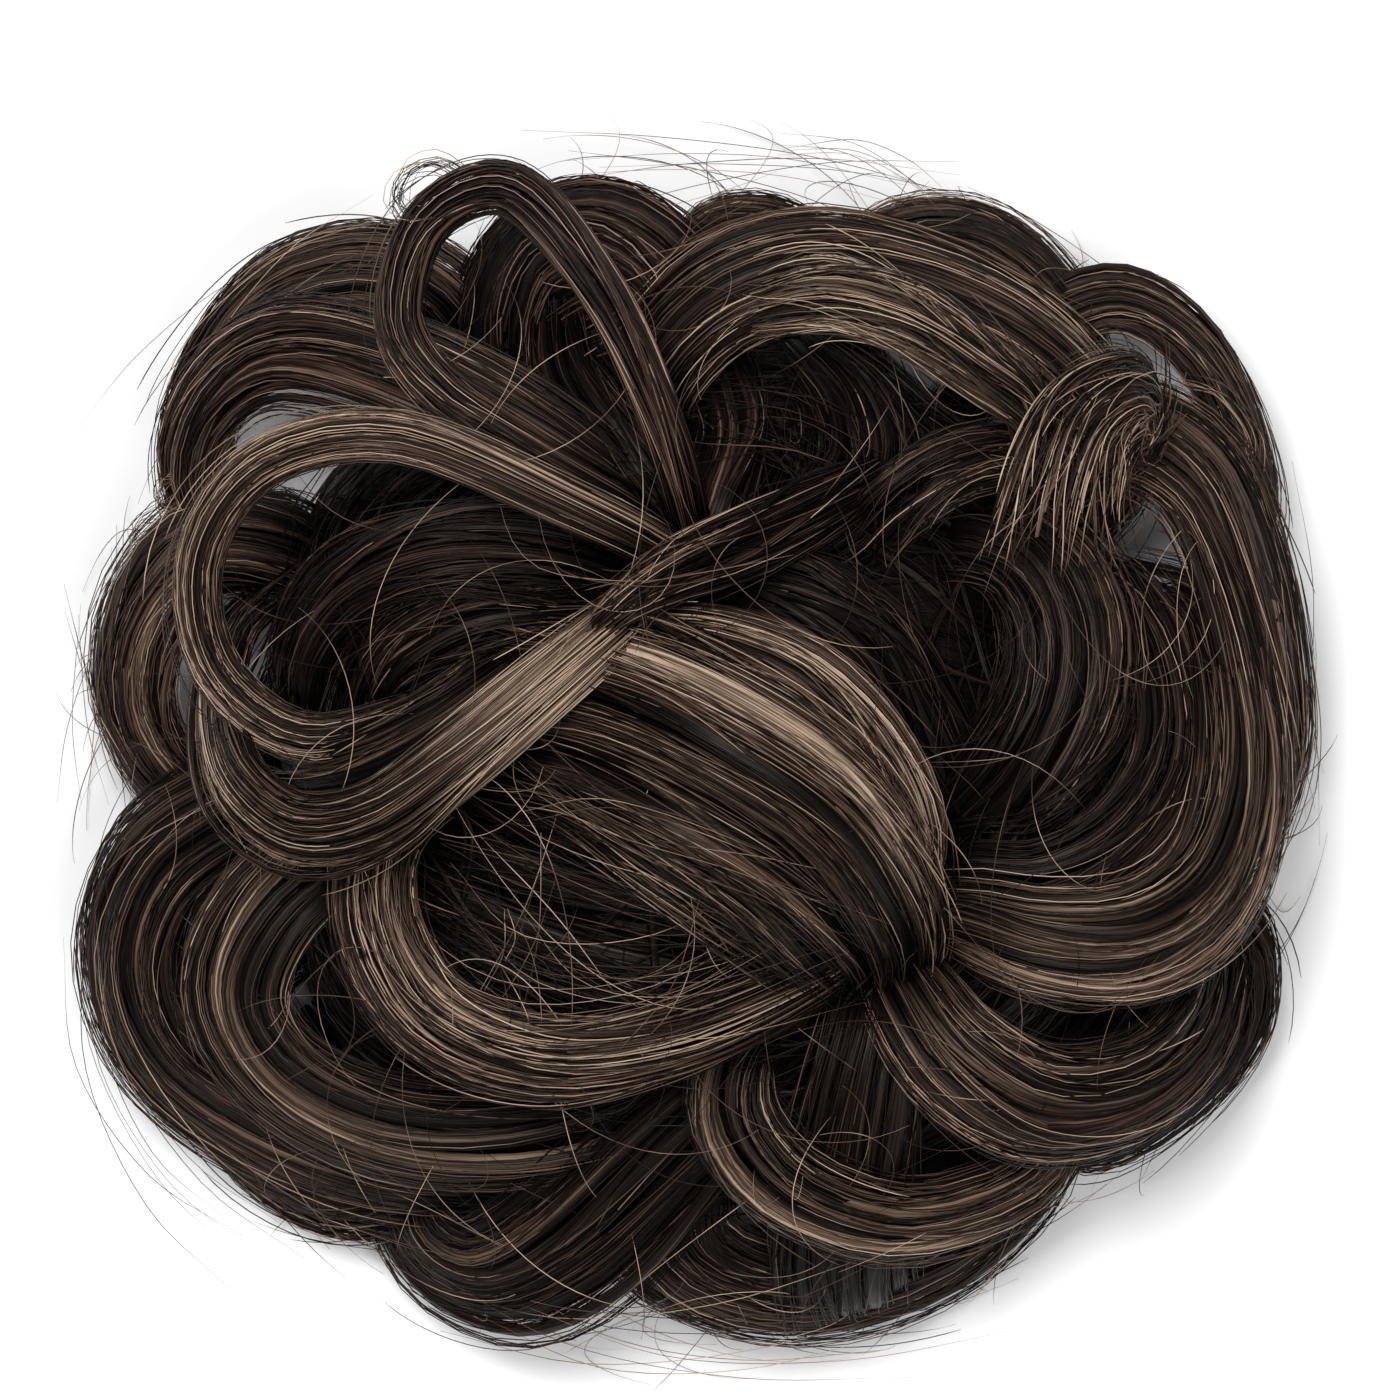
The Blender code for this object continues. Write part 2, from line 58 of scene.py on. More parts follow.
# How clumps and single hairs lie in every lock. Shares are of the lock's half width and half thickness.
strands = {
    "clumpStep": 0.0036, "clumpSamples": (16, 44),  # metres between samples, least and most samples
    "hairStep": 0.0048, "hairSamples": (14, 32),
    "clumpReach": (0.36, 0.84), "hairReach": (0.90, 1.12),  # how far out they lie, as shares
    "wispRoam": (0.0014, 0.0040), "wispRise": (0.0003, 0.0014),     # how far wandering clumps stray, metres
    "calmRoam": 0.13, "calmRise": 0.10,             # how far the others stray, as shares
    "beats": (0.5, 1.2),                            # waves of that straying along a lock
    "leastAcross": 0.0003, "leastOut": 0.00025,     # least half width and half thickness of a clump, metres
    "looseFrom": 0.65, "looseLength": (0.22, 0.5),  # latest start and length, as shares of the lock's
    "fairTone": 0.42,                               # how much lighter a pale hair is
}

bunScale = np.array([bun["radius"], bun["radius"], bun["height"]])


def placed(rows):
    # rows of percent values as points in metres
    return np.array(rows) / 100 * bunScale


def unit(vectors):
    # each vector divided by its own length
    return vectors / np.maximum(np.linalg.norm(vectors, axis=-1, keepdims=True), 1e-12)


def smoothPath(points, count):
    # Catmull-Rom cubics through the points, then spaced evenly by running length
    knots = np.vstack([2 * points[:1] - points[1:2], points, 2 * points[-1:] - points[-2:-1]])
    t = np.linspace(0, 1, 24, endpoint=False)[None, :, None]
    a, b, c, d = (knots[k:len(knots) - 3 + k][:, None] for k in range(4))
    spans = 0.5 * (2 * b + (c - a) * t + (2 * a - 5 * b + 4 * c - d) * t**2 + (3 * b - a - 3 * c + d) * t**3)
    dense = np.vstack([spans.reshape(-1, 3), points[-1:]])
    along = np.concatenate([[0], np.cumsum(np.linalg.norm(np.diff(dense, axis=0), axis=1))])
    even = np.linspace(0, along[-1], count)
    return np.stack([np.interp(even, along, dense[:, k]) for k in range(3)], axis=1), along[-1]


def pathFrames(path):
    # facing is the outward direction with its part along the path taken out, smoothed over its neighbours;
    # sideways is the tangent crossed with facing
    tangents = unit(np.gradient(path, axis=0))
    outward = unit(path + np.array([0, 0, bun["facingDepth"]]))
    facing = outward - tangents * (outward * tangents).sum(1, keepdims=True)
    weights = np.hanning(13)[1:-1]
    for _ in range(3):
        padded = np.pad(facing, ((5, 5), (0, 0)), mode="edge")
        facing = np.stack([np.convolve(padded[:, k], weights, "valid") for k in range(3)], axis=1)
        facing -= tangents * (facing * tangents).sum(1, keepdims=True)
        facing /= np.linalg.norm(facing, axis=1).max()
    facing = unit(facing)
    return tangents, facing, unit(np.cross(tangents, facing))


def domeShare(points):
    # how far out the points lie, as a share of the outer dome
    width, height = bun["shell"]
    return np.sqrt((np.hypot(points[..., 0], points[..., 1]) / width) ** 2 + (points[..., 2] / height) ** 2)


def strandFrame(centres, outward):
    # sideways is the tangent crossed with the outward direction, and facing is square to both
    tangents = unit(np.gradient(centres, axis=1))
    side = unit(np.cross(tangents, outward))
    return side, np.cross(side, tangents)


def sampleRows(rows, share):
    # linear blend of neighbouring rows at each share of the whole
    place = np.clip(share, 0, 1) * (len(rows) - 1)
    low = np.minimum(place.astype(int), len(rows) - 2)
    part = (place - low)[..., None]
    return rows[low] * (1 - part) + rows[low + 1] * part


def swell(share, root, end):
    # pinched at the root, full in the middle, narrower again at the end, by a sine to the power 0.7
    edge = np.where(share < 0.5, root, end)
    return edge + (1 - edge) * np.sin(np.pi * np.clip(share, 0, 1)) ** 0.7


def ringFaces(rows, around):
    # quads between neighbouring rings of points, and one face each to close the first and the last ring
    first = np.arange(around)
    here = np.arange(rows - 1)[:, None] * around + first
    after = np.arange(rows - 1)[:, None] * around + (first + 1) % around
    quads = np.stack([here, here + around, after + around, after], axis=-1).reshape(-1, 4)
    return quads, np.stack([first, first[::-1] + (rows - 1) * around])


def tubes(centres, across, outward, halfAcross, halfOut, sides):
    # ellipses carried along each centre line: centre + across * cosine + outward * sine, with closed ends.
    # centres is (tubes, samples, 3), raised so that each tube lies on the table with its full thickness.
    # Returns points, quads and end fans for all tubes together.
    count, samples = centres.shape[:2]
    low = bun["tableGap"] + np.maximum(halfAcross, halfOut)
    centres = np.concatenate([centres[..., :2], np.maximum(centres[..., 2], low)[..., None]], axis=-1)
    turn = np.linspace(0, 2 * np.pi, sides, endpoint=False)
    ring = centres[:, :, None] + across[:, :, None] * (halfAcross[..., None] * np.cos(turn))[..., None] \
        + outward[:, :, None] * (halfOut[..., None] * np.sin(turn))[..., None]
    quads, ends = ringFaces(samples, sides)
    shift = (np.arange(count) * samples * sides)[:, None, None]
    return ring.reshape(-1, 3), (quads + shift).reshape(-1, 4), (ends + shift).reshape(-1, sides)


def triangles(piece):
    # a face of n corners makes n - 2 triangles
    return len(piece.data.loops) - 2 * len(piece.data.polygons)


def makeMesh(name, bundles):
    # one mesh from several bundles of tubes, with the tone, tint and streak map that the hair material reads
    points, corners, sizes, tones, tints, maps = [], [], [], [], [], []
    base = 0
    for ring, quads, ends, tone, tint, streak in bundles:
        points.append(ring)
        corners += [(quads + base).ravel(), (ends + base).ravel()]
        sizes += [np.full(len(quads), 4), np.full(len(ends), ends.shape[1])]
        tones.append(tone)
        tints.append(tint)
        maps.append(streak)
        base += len(ring)
    points, corners, sizes = np.concatenate(points), np.concatenate(corners), np.concatenate(sizes)
    points[:, 2] = np.maximum(points[:, 2], bun["tableGap"])
    # painted shade: hair deep in the bun is made darker by how far inside the outer dome a point lies
    dome = domeShare(points)
    tones = np.concatenate(tones) - bun["deepShade"] * np.clip(bun["deepFrom"] - dome, 0, bun["deepReach"])
    mesh = bpy.data.meshes.new(name)
    mesh.vertices.add(len(points))
    mesh.vertices.foreach_set("co", points.astype(np.float32).ravel())
    mesh.loops.add(len(corners))
    mesh.loops.foreach_set("vertex_index", corners.astype(np.int32))
    mesh.polygons.add(len(sizes))
    starts = np.concatenate([[0], np.cumsum(sizes)[:-1]])
    mesh.polygons.foreach_set("loop_start", starts.astype(np.int32))
    mesh.polygons.foreach_set("use_smooth", np.ones(len(sizes), bool))
    mesh.update(calc_edges=True)
    for key, values in (("tone", tones), ("tint", np.concatenate(tints))):
        layer = mesh.attributes.new(key, "FLOAT", "POINT")
        layer.data.foreach_set("value", values.astype(np.float32))
    flat = np.concatenate(maps)[corners]
    mesh.uv_layers.new(name="streaks").data.foreach_set("uv", flat.astype(np.float32).ravel())
    mesh.validate()
    piece = bpy.data.objects.new(name, mesh)
    scene.collection.objects.link(piece)
    return piece


built = []


def dressPiece(piece, material, node=None):
    # the piece gets its material, rides on the part's only body and stands for its CAD node, if it has one
    piece.data.materials.append(material)
    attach(piece, "root")
    if node:
        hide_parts(node)
    built.append(piece)
    print(piece.name, "triangles", triangles(piece))


def spreadMap(streakU, streakV):
    # the two halves of a streak map, repeated until they cover all points
    return np.stack([np.ravel(half) for half in np.broadcast_arrays(streakU, streakV)], axis=1)


def mapped(tube, sides, tone, tint, streakU, streakV):
    # a bundle for makeMesh: tone and tint are given at each sample, the streak map also around it
    tones, tints = (np.repeat(values.ravel(), sides) for values in (tone, tint))
    return (*tube, tones, tints, spreadMap(streakU, streakV))


# What both materials share
hairShader = {
    "fineStretch": 30, "broadStretch": 14,  # how finely the two noises are cut along the hair
    "noiseRoughness": 0.6, "broadShare": 0.40, "noiseRange": (0.38, 0.64),
    "darkAt": 0.28, "middleAt": 0.60,       # where the dark and the middle colour lie on the tone scale
    "reliefStrength": 0.8, "refraction": 1.45,
}


def setInputs(node, values):
    # each named input gets its value
    for key, value in values.items():
        node.inputs[key].default_value = value
    return node


def streakNoise(nodes, links, source, across, alongIt, detail):
    # noise squeezed across the hair and drawn out along it, so that it reads as single hairs
    stretch = setInputs(nodes.new("ShaderNodeMapping"), {"Scale": (across, alongIt, 1)})
    links.new(source, stretch.inputs["Vector"])
    noise = nodes.new("ShaderNodeTexNoise")
    noise.noise_dimensions = "2D"
    setInputs(noise, {"Scale": 1, "Detail": detail, "Roughness": hairShader["noiseRoughness"]})
    links.new(stretch.outputs["Vector"], noise.inputs["Vector"])
    return noise.outputs["Fac"]


def hairMaterial(name, finish):
    # tone picks the colour from dark to light, long thin noise adds single hairs, tint turns brown to plum
    material = bpy.data.materials.new(name)
    material.use_nodes = True
    nodes, links = material.node_tree.nodes, material.node_tree.links
    shader = nodes["Principled BSDF"]
    streakMap = nodes.new("ShaderNodeUVMap")
    streakMap.uv_map = "streaks"
    uv = streakMap.outputs["UV"]
    fine = streakNoise(nodes, links, uv, finish["fineHairs"], hairShader["fineStretch"], 2)
    broad = streakNoise(nodes, links, uv, finish["broadHairs"], hairShader["broadStretch"], 1)
    both = setInputs(nodes.new("ShaderNodeMix"), {"Factor": hairShader["broadShare"]})
    links.new(fine, both.inputs["A"])
    links.new(broad, both.inputs["B"])
    tone = nodes.new("ShaderNodeAttribute")
    tone.attribute_name = "tone"
    tint = nodes.new("ShaderNodeAttribute")
    tint.attribute_name = "tint"
    low, high = hairShader["noiseRange"]
    spread = setInputs(nodes.new("ShaderNodeMapRange"), {
        "From Min": low, "From Max": high, "To Min": -finish["contrast"], "To Max": finish["contrast"]})
    links.new(both.outputs["Result"], spread.inputs["Value"])
    total = nodes.new("ShaderNodeMath")
    total.operation = "ADD"
    links.new(tone.outputs["Fac"], total.inputs[0])
    links.new(spread.outputs["Result"], total.inputs[1])
    ramp = nodes.new("ShaderNodeValToRGB")
    ramp.color_ramp.elements[0].color = (*finish["darkest"], 1)
    ramp.color_ramp.elements[1].color = (*finish["light"], 1)
    for key in ("dark", "middle"):
        ramp.color_ramp.elements.new(hairShader[key + "At"]).color = (*finish[key], 1)
    links.new(total.outputs["Value"], ramp.inputs["Fac"])
    plum = nodes.new("ShaderNodeMix")
    plum.data_type = "RGBA"
    plum.blend_type = "MULTIPLY"
    setInputs(plum, {"B": (*finish["plum"], 1)})
    links.new(tint.outputs["Fac"], plum.inputs["Factor"])
    links.new(ramp.outputs["Color"], plum.inputs["A"])
    links.new(plum.outputs["Result"], shader.inputs["Base Color"])
    relief = setInputs(nodes.new("ShaderNodeBump"), {
        "Strength": hairShader["reliefStrength"], "Distance": finish["relief"]})
    links.new(both.outputs["Result"], relief.inputs["Height"])
    links.new(relief.outputs["Normal"], shader.inputs["Normal"])
    setInputs(shader, {"Roughness": finish["roughness"], "IOR": hairShader["refraction"],
                       "Specular IOR Level": finish["shine"], "Specular Tint": (*finish["shineColour"], 1)})
    return material


curledHair = {
    "fineHairs": 5600, "broadHairs": 1400, "contrast": 0.34, "relief": 0.0005,
    "darkest": (0.0025, 0.0018, 0.0015), "dark": (0.020, 0.0125, 0.009),
    "middle": (0.125, 0.082, 0.055), "light": (0.57, 0.435, 0.31), "plum": (1.0, 0.86, 0.97),
    "roughness": 0.40, "shine": 0.20, "shineColour": (1.0, 0.86, 0.74),
}
hairFinish = hairMaterial("curledHair", curledHair)


# What a lock has where its own dictionary doesn't say otherwise
lockDefaults = {
    "root": 0.5, "end": 0.5,    # width at the root and at the end, as shares of the widest
    "tone": 0.25, "spread": 0.12, "tint": 0.4,  # lightness, how much it differs between hairs, plum
    "bands": [], "shine": [],   # lighter places across (partly blonde hair, partly painted highlight) and along (painted highlight; a negative lift paints shade): middle, half width, how much lighter
    "loose": 0.26,              # share of single hairs that leave the lock
    "strayReach": 0.0052,       # how far they leave it, in metres
    "wisps": 0.32,              # share of clumps that wander far
    "fan": 0,                   # how far the tips spread apart
    "fray": 0.15, "taper": 0.10,    # how uneven and how long the tips are
    "fair": 0.08,               # share of single hairs that are pale
}


def toneAt(spec, across, along, noise):
    # the lock's own tone with painted shade at its two ends, lighter in its bands across (partly blonde hair,
    # partly painted highlight) and in its painted highlights along, plus a step for each hair
    # painted shade at both ends of the lock
    shade = 0.14 * (np.exp(-(along / 0.07) ** 2) + np.exp(-((1 - along) / 0.07) ** 2))
    tone = spec["tone"] + noise - shade + 0 * across
    # bands across: partly blonde hair, partly painted highlight
    for centre, half, lift in spec["bands"]:
        tone = tone + lift * np.exp(-((across - centre) / half) ** 2)
    # stretches along: painted highlight, and painted shade where the lift is negative
    for centre, half, lift in spec["shine"]:
        tone = tone + lift * np.exp(-((along - centre) / half) ** 2)
    return tone


lockPaths = []


def lockBundles(spec, seed):
    # clumps fill the lock's oval section as flat ovals, and single hairs lie on and around them.
    # Each follows the path at its own place in the section, drawn towards its clump and wandering a little.
    rng = np.random.default_rng(bun["seed"] + seed)
    path, length = smoothPath(placed(spec["rows"]), bun["pathPoints"])
    lockPaths.append(path)
    frames = np.concatenate([path, *pathFrames(path)], axis=1)
    bends = np.linalg.norm(np.diff(frames[:, 3:6], axis=0), axis=1)
    course = np.append(0, np.cumsum(length / len(bends) + bun["bendWeight"] * bends))
    wide, thick = 0.0005 * spec["width"], 0.0005 * spec["thick"]    # half of each, in metres
    root, end = spec["root"], spec["end"]
    clumps = spec.get("clumps", int(9 + spec["width"]))
    hairs = spec.get("hairs", int(30 + 5.5 * spec["width"]))
    loose, fan = spec["loose"], spec["fan"]

    def crowd(share):
        # evenly spaced shares moved so that they lie closer together where the path bends
        return np.interp(share, course / course[-1], np.linspace(0, 1, len(course)))

    def along(share, a, b):
        # the point at that share of the lock, a of the way to its side and b of the way to its face
        here = sampleRows(frames, share)
        size = swell(share, root, end)
        facing, side = unit(here[..., 6:9]), unit(here[..., 9:12])
        slim = (0.35 + 0.65 * size) * thick
        a = a * (1 + fan * share ** 3)   # the tips of a fanned lock spread apart
        return here[..., :3] + side * (a * size * wide)[..., None] + facing * (b * slim)[..., None], \
            unit(here[..., 3:6]), facing, side, size

    # clumps: spread evenly over the lock's face, every fourth one on its underside, some wandering far
    turn = np.linspace(-0.12, 1.12, clumps) * np.pi
    turn = np.where(np.arange(clumps) % 4 == 3, turn + np.pi, turn) + rng.normal(0, 0.10, clumps)
    reach = rng.uniform(*strands["clumpReach"], clumps)
    clumpA, clumpB = 1.05 * reach * np.cos(turn), reach * np.sin(turn)
    wisp = rng.random(clumps) < spec["wisps"]
    roam = np.where(wisp, rng.uniform(*strands["wispRoam"], clumps) / wide, strands["calmRoam"])
    rise = np.where(wisp, rng.uniform(*strands["wispRise"], clumps) / thick, strands["calmRise"])
    beat = rng.uniform(*strands["beats"], (2, clumps))
    phase = rng.uniform(0, 2 * np.pi, (2, clumps))

    def wander(share, which):
        # how far a clump strays from its place in the section: a slow sine that is still at both ends
        still = np.sqrt(np.sin(np.pi * np.clip(share, 0, 1)))
        swings = [np.sin(2 * np.pi * beat[k][which][:, None] * share + phase[k][which][:, None])
                  for k in (0, 1)]
        up = 0.8 * swings[1] + 0.6
        return still * roam[which][:, None] * swings[0], still * rise[which][:, None] * up

    samples = int(np.clip(length / strands["clumpStep"], *strands["clumpSamples"]))
    fray = spec["fray"]
    share = crowd(np.linspace(0, 1, samples) * (1 - fray * rng.uniform(0, 1, (clumps, 1)) ** 2))
    roamA, roamB = wander(share, np.arange(clumps))
    a, b = clumpA[:, None] + roamA, clumpB[:, None] + roamB
    centre, tangent, facing, side, size = along(share, a, b)
    out = unit(side * (a / wide)[..., None] + facing * (b / thick)[..., None] + 1e-9)
    flat = unit(np.cross(tangent, out))
    own = np.linspace(0, 1, samples)
    taper = np.clip(np.minimum(own, 1 - own) / spec["taper"], 0.10, 1)
    girth = rng.uniform(0.5, 1.1, (clumps, 1)) * (1.1 - 0.45 * np.abs(clumpA)[:, None]) * taper * size
    girth = girth * np.where(wisp, 0.6, 1)[:, None]
    halfAcross = np.maximum(girth * wide * 1.3 / np.sqrt(clumps), strands["leastAcross"])
    halfOut = np.maximum(girth * thick * 0.30, strands["leastOut"])
    sides = 4
    tube = tubes(centre, flat, out, halfAcross, halfOut, sides)
    step = rng.normal(0, 0.9 * spec["spread"], (clumps, 1))
    # painted shade inside the lock: clumps lie 0.05 below the lock's tone, darker the deeper they lie in its
    # section and lighter the further out
    tone = toneAt(spec, a, share, step) - 0.05 - 0.15 * (0.6 - reach)[:, None]
    tint = np.clip(spec["tint"] + rng.normal(0, 0.25, (clumps, 1)), 0, 1) * np.ones_like(share)
    around = np.arange(sides) * 2 * (halfAcross.mean() + halfOut.mean()) / sides
    streakU = rng.uniform(0, 3, (clumps, 1, 1)) + around
    streakV = (share * length + rng.uniform(0, 3, (clumps, 1)))[..., None]
    bundles = [mapped(tube, sides, tone, tint, streakU, streakV)]

    # single hairs: most lie on their clump and go with it, the loose ones leave it along a widening curve
    samples = int(np.clip(length / strands["hairStep"], *strands["hairSamples"]))
    stray = rng.random((hairs, 1)) < loose
    late, early = (rng.uniform(0, latest, (hairs, 1)) for latest in (strands["looseFrom"], 0.05))
    start = np.where(stray, late, early)
    stop = 1 - rng.uniform(0, 1, (hairs, 1)) ** 2 * (fray + 0.08)
    stop = np.where(stray, np.minimum(start + rng.uniform(*strands["looseLength"], (hairs, 1)), 1), stop)
    own = np.linspace(0, 1, samples)
    share = crowd(start + (stop - start) * own)
    turn = rng.uniform(-0.15, 1.15, hairs) * np.pi
    turn = np.where(rng.random(hairs) < 0.15, turn + np.pi, turn)
    reach = rng.uniform(*strands["hairReach"], hairs)
    freeA, freeB = reach * np.cos(turn), reach * np.sin(turn)
    home = np.argmin((freeA[:, None] - clumpA) ** 2 + (freeB[:, None] - clumpB) ** 2, axis=1)
    follow = np.where(rng.random((hairs, 1)) < 0.65, 0.75, 0.15)
    nearA = clumpA[home] * 1.3 + rng.normal(0, 0.10, hairs)
    nearB = clumpB[home] * 1.3 + rng.normal(0, 0.12, hairs) + 0.12
    roamA, roamB = wander(share, home)
    a = freeA[:, None] * (1 - follow) + nearA[:, None] * follow + roamA * follow
    b = freeB[:, None] * (1 - follow) + nearB[:, None] * follow + roamB * follow
    waves = rng.uniform(0, 2 * np.pi, (2, hairs, 1))
    a, b = a + 0.07 * np.sin(7 * share + waves[0]), b + 0.07 * np.sin(6 * share + waves[1])
    centre, tangent, facing, side, size = along(share, a, b)
    leave = np.where(stray, rng.uniform(0.0006, spec["strayReach"], (hairs, 1)), 0) * own ** 2
    lean = rng.uniform(-1, 1, (hairs, 1))
    centre = centre + facing * (leave * (1 - 0.7 * np.abs(lean)))[..., None] \
        + side * (leave * lean)[..., None]
    radius = 0.5 * bun["hairThickness"] * rng.uniform(0.75, 1.2, (hairs, 1)) * np.ones_like(share)
    radius[:, 0] *= 0.5
    radius[:, -1] *= 0.35
    tube = tubes(centre, side, facing, radius, radius, 3)
    step = rng.normal(0.03, 1.5 * spec["spread"], (hairs, 1))
    step = np.where(rng.random((hairs, 1)) < spec["fair"], strands["fairTone"], step)
    tone = toneAt(spec, a, share, step)
    tint = np.clip(spec["tint"] + rng.normal(0, 0.3, (hairs, 1)), 0, 1) * np.ones_like(share)
    streakU = rng.uniform(0, 3, (hairs, 1, 1)) * np.ones(3)
    bundles.append(mapped(tube, 3, tone, tint, streakU, (share * length)[..., None]))
    return bundles


def hairLock(name, spec):
    # seeds follow the order in which the locks are built
    piece = makeMesh(name + "_hair", lockBundles({**lockDefaults, **spec}, len(built)))
    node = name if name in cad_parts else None
    dressPiece(piece, hairFinish, node)


# The middle of the bun

crown = {
    "width": 27, "thick": 11, "root": 0.85, "end": 0.35, "tone": 0.17, "spread": 0.15, "tint": 0.25,
    "hairs": 400, "bands": [(-0.80, 0.30, 0.34), (0.1, 0.3, 0.08)], "clumps": 26, "fair": 0.10,
    "rows": [(-40, 9, 42), (-29, 6, 61), (-15, 3, 80), (1, -5, 92), (15, -14, 88), (25, -25, 74),
        (30, -34, 56), (27, -40, 38)]}
hairLock("crown", crown)

crownEdge = {
    "width": 7.2, "thick": 4.5, "end": 0.55, "tone": 0.42, "spread": 0.16, "tint": 0.15, "hairs": 130,
    "bands": [(-0.3, 0.5, 0.15)],
    "rows": [(-17, 18, 50), (-8, 20, 70), (4, 19, 82), (19, 13, 86), (31, 1, 82), (37, -12, 74),
        (36, -24, 62), (31, -33, 44)]}
hairLock("crown_edge", crownEdge)

crownShadow = {
    "width": 11, "thick": 5, "tone": 0.14, "spread": 0.08, "tint": 0.9, "hairs": 130,
    "rows": [(0, 22, 44), (4, 28, 60), (16, 27, 67), (29, 19, 67), (37, 5, 61), (41, -9, 54),
        (37, -22, 44), (30, -28, 32)]}
hairLock("crown_shadow", crownShadow)

twist = {
    "width": 7, "thick": 5, "root": 0.4, "end": 0.12, "tone": 0.16, "spread": 0.16, "tint": 0.6,
    "hairs": 170, "loose": 0.4, "wisps": 0.6, "taper": 0.3, "fray": 0.35,
    "rows": [(38, 46, 36), (32, 46, 52), (21, 40, 65), (7.5, 33.3, 74), (-2.5, 29.2, 80),
        (-12, 23.5, 86), (-20, 16.5, 80)]}
hairLock("twist", twist)

# Open loops on the upper left

loopTop = {
    "width": 6, "thick": 4, "root": 0.6, "end": 1.0, "tone": 0.20, "tint": 0.6, "hairs": 120,
    "loose": 0.35, "shine": [(0.2, 0.12, 0.15)], "wisps": 0.6,
    "rows": [(0, 25, 44), (-1, 38, 62), (-7, 58, 78), (-16, 77, 82), (-30, 93, 78), (-44, 88, 73),
        (-49, 72, 70), (-42, 60, 70), (-27, 50, 71), (-12, 41, 66), (0, 31, 50)]}
hairLock("loop_top", loopTop)

loopLeft = {
    "width": 6.6, "thick": 4.6, "end": 0.7, "tone": 0.27, "spread": 0.17, "tint": 0.3, "hairs": 170,
    "bands": [(0.7, 0.45, 0.34)], "shine": [(0.42, 0.15, 0.14), (0.9, 0.25, -0.12)], "loose": 0.25,
    "rows": [(2, 22, 44), (-3, 31, 62), (-22, 41, 76), (-49, 52, 82), (-71, 48, 76), (-82, 33, 68),
        (-80, 14, 61), (-66, 2, 59), (-47, 5, 60), (-27, 14, 62), (-10, 20, 46)]}
hairLock("loop_left", loopLeft)

loopLeftLow = {
    "width": 8.5, "thick": 4.8, "end": 0.55, "tone": 0.26, "spread": 0.14, "tint": 0.2, "hairs": 190,
    "shine": [(0.27, 0.13, 0.42)], "bands": [(-0.5, 0.5, 0.10)], "loose": 0.16, "wisps": 0.2,
    "rows": [(-4, 27, 52), (-11, 22, 78), (-24, 11, 89), (-38, -1, 90), (-52, -11, 83), (-65, -13, 74),
        (-75, -6, 66), (-79, 6, 50), (-77, 20, 42), (-66, 30, 34)]}
hairLock("loop_left_low", loopLeftLow)

innerLeft = {
    "width": 11.5, "thick": 5, "end": 0.8, "tone": 0.15, "spread": 0.09, "tint": 0.85,
    "rows": [(-2, 25, 42), (-10, 29, 57), (-26, 33, 64), (-44, 32, 65), (-59, 25, 59), (-66, 13, 48),
        (-62, 2, 34)]}
hairLock("inner_left", innerLeft)

innerLeftFan = {
    "width": 10.5, "thick": 4.5, "root": 0.45, "end": 0.8, "tone": 0.30, "spread": 0.14, "tint": 0.3,
    "rows": [(-9, 24, 42), (-17, 20, 56), (-30, 12, 66), (-44, 3, 68), (-57, -3, 62), (-66, -4, 50),
        (-66, 0, 36)]}
hairLock("inner_left_fan", innerLeftFan)

# Lower left

hoopLow = {
    "width": 9.2, "thick": 5.5, "end": 0.55, "tone": 0.20, "spread": 0.20, "tint": 0.3, "hairs": 280,
    "loose": 0.40, "shine": [(0.6, 0.2, 0.14), (0.2, 0.12, 0.12)], "fair": 0.16, "wisps": 0.6,
    "clumps": 15,
    "rows": [(30, -30, 40), (27, -34, 54), (13, -42, 66), (-5, -49, 73), (-25, -51, 75), (-43, -44, 73),
        (-52, -30, 70), (-52, -16, 64), (-43, -6, 54), (-30, -2, 40)]}
hairLock("hoop_low", hoopLow)

petalLeftInner = {
    "width": 17, "thick": 7, "root": 0.55, "end": 0.45, "tone": 0.20, "bands": [(0.2, 0.4, 0.14)],
    "rows": [(-42, -8, 40), (-57, -14, 52), (-71, -25, 53), (-77, -40, 49), (-69, -54, 45),
        (-51, -63, 44), (-28, -64, 45), (-3, -57, 46), (17, -46, 42), (27, -36, 32)]}
hairLock("petal_left_inner", petalLeftInner)

petalLeftLow = {
    "width": 20, "thick": 8, "tone": 0.15, "spread": 0.10, "tint": 0.5, "shine": [(0.6, 0.12, 0.16)],
    "rows": [(-56, 0, 34), (-75, -9, 40), (-89, -19, 37), (-94, -35, 32), (-88, -51, 28), (-72, -63, 26),
        (-52, -71, 26), (-29, -72, 27), (-12, -60, 24)]}
hairLock("petal_left_low", petalLeftLow)

petalBottomLeft = {
    "width": 16, "thick": 7, "tone": 0.12, "spread": 0.08,
    "rows": [(-26, -52, 20), (-42, -68, 22), (-59, -74, 18), (-74, -66, 13), (-80, -50, 10),
        (-73, -34, 9), (-54, -24, 12)]}
hairLock("petal_bottom_left", petalBottomLeft)

# Bottom

petalBottom = {
    "width": 20, "thick": 8, "root": 0.45, "end": 0.55, "tone": 0.13, "spread": 0.09,
    "rows": [(22, -38, 36), (11, -52, 46), (-4, -67, 44), (-19, -82, 36), (-33, -89, 26), (-45, -83, 17),
        (-46, -69, 12), (-36, -54, 12)]}
hairLock("petal_bottom", petalBottom)

petalBottomMid = {
    "width": 19, "thick": 7, "root": 0.4, "end": 0.6, "tone": 0.10, "spread": 0.07,
    "shine": [(0.75, 0.25, -0.14)],
    "rows": [(29, -36, 40), (30, -45, 53), (28, -57, 53), (26, -69, 46), (25, -82, 35), (26, -91, 22),
        (26, -87, 10), (26, -68, 8)]}
hairLock("petal_bottom_mid", petalBottomMid)

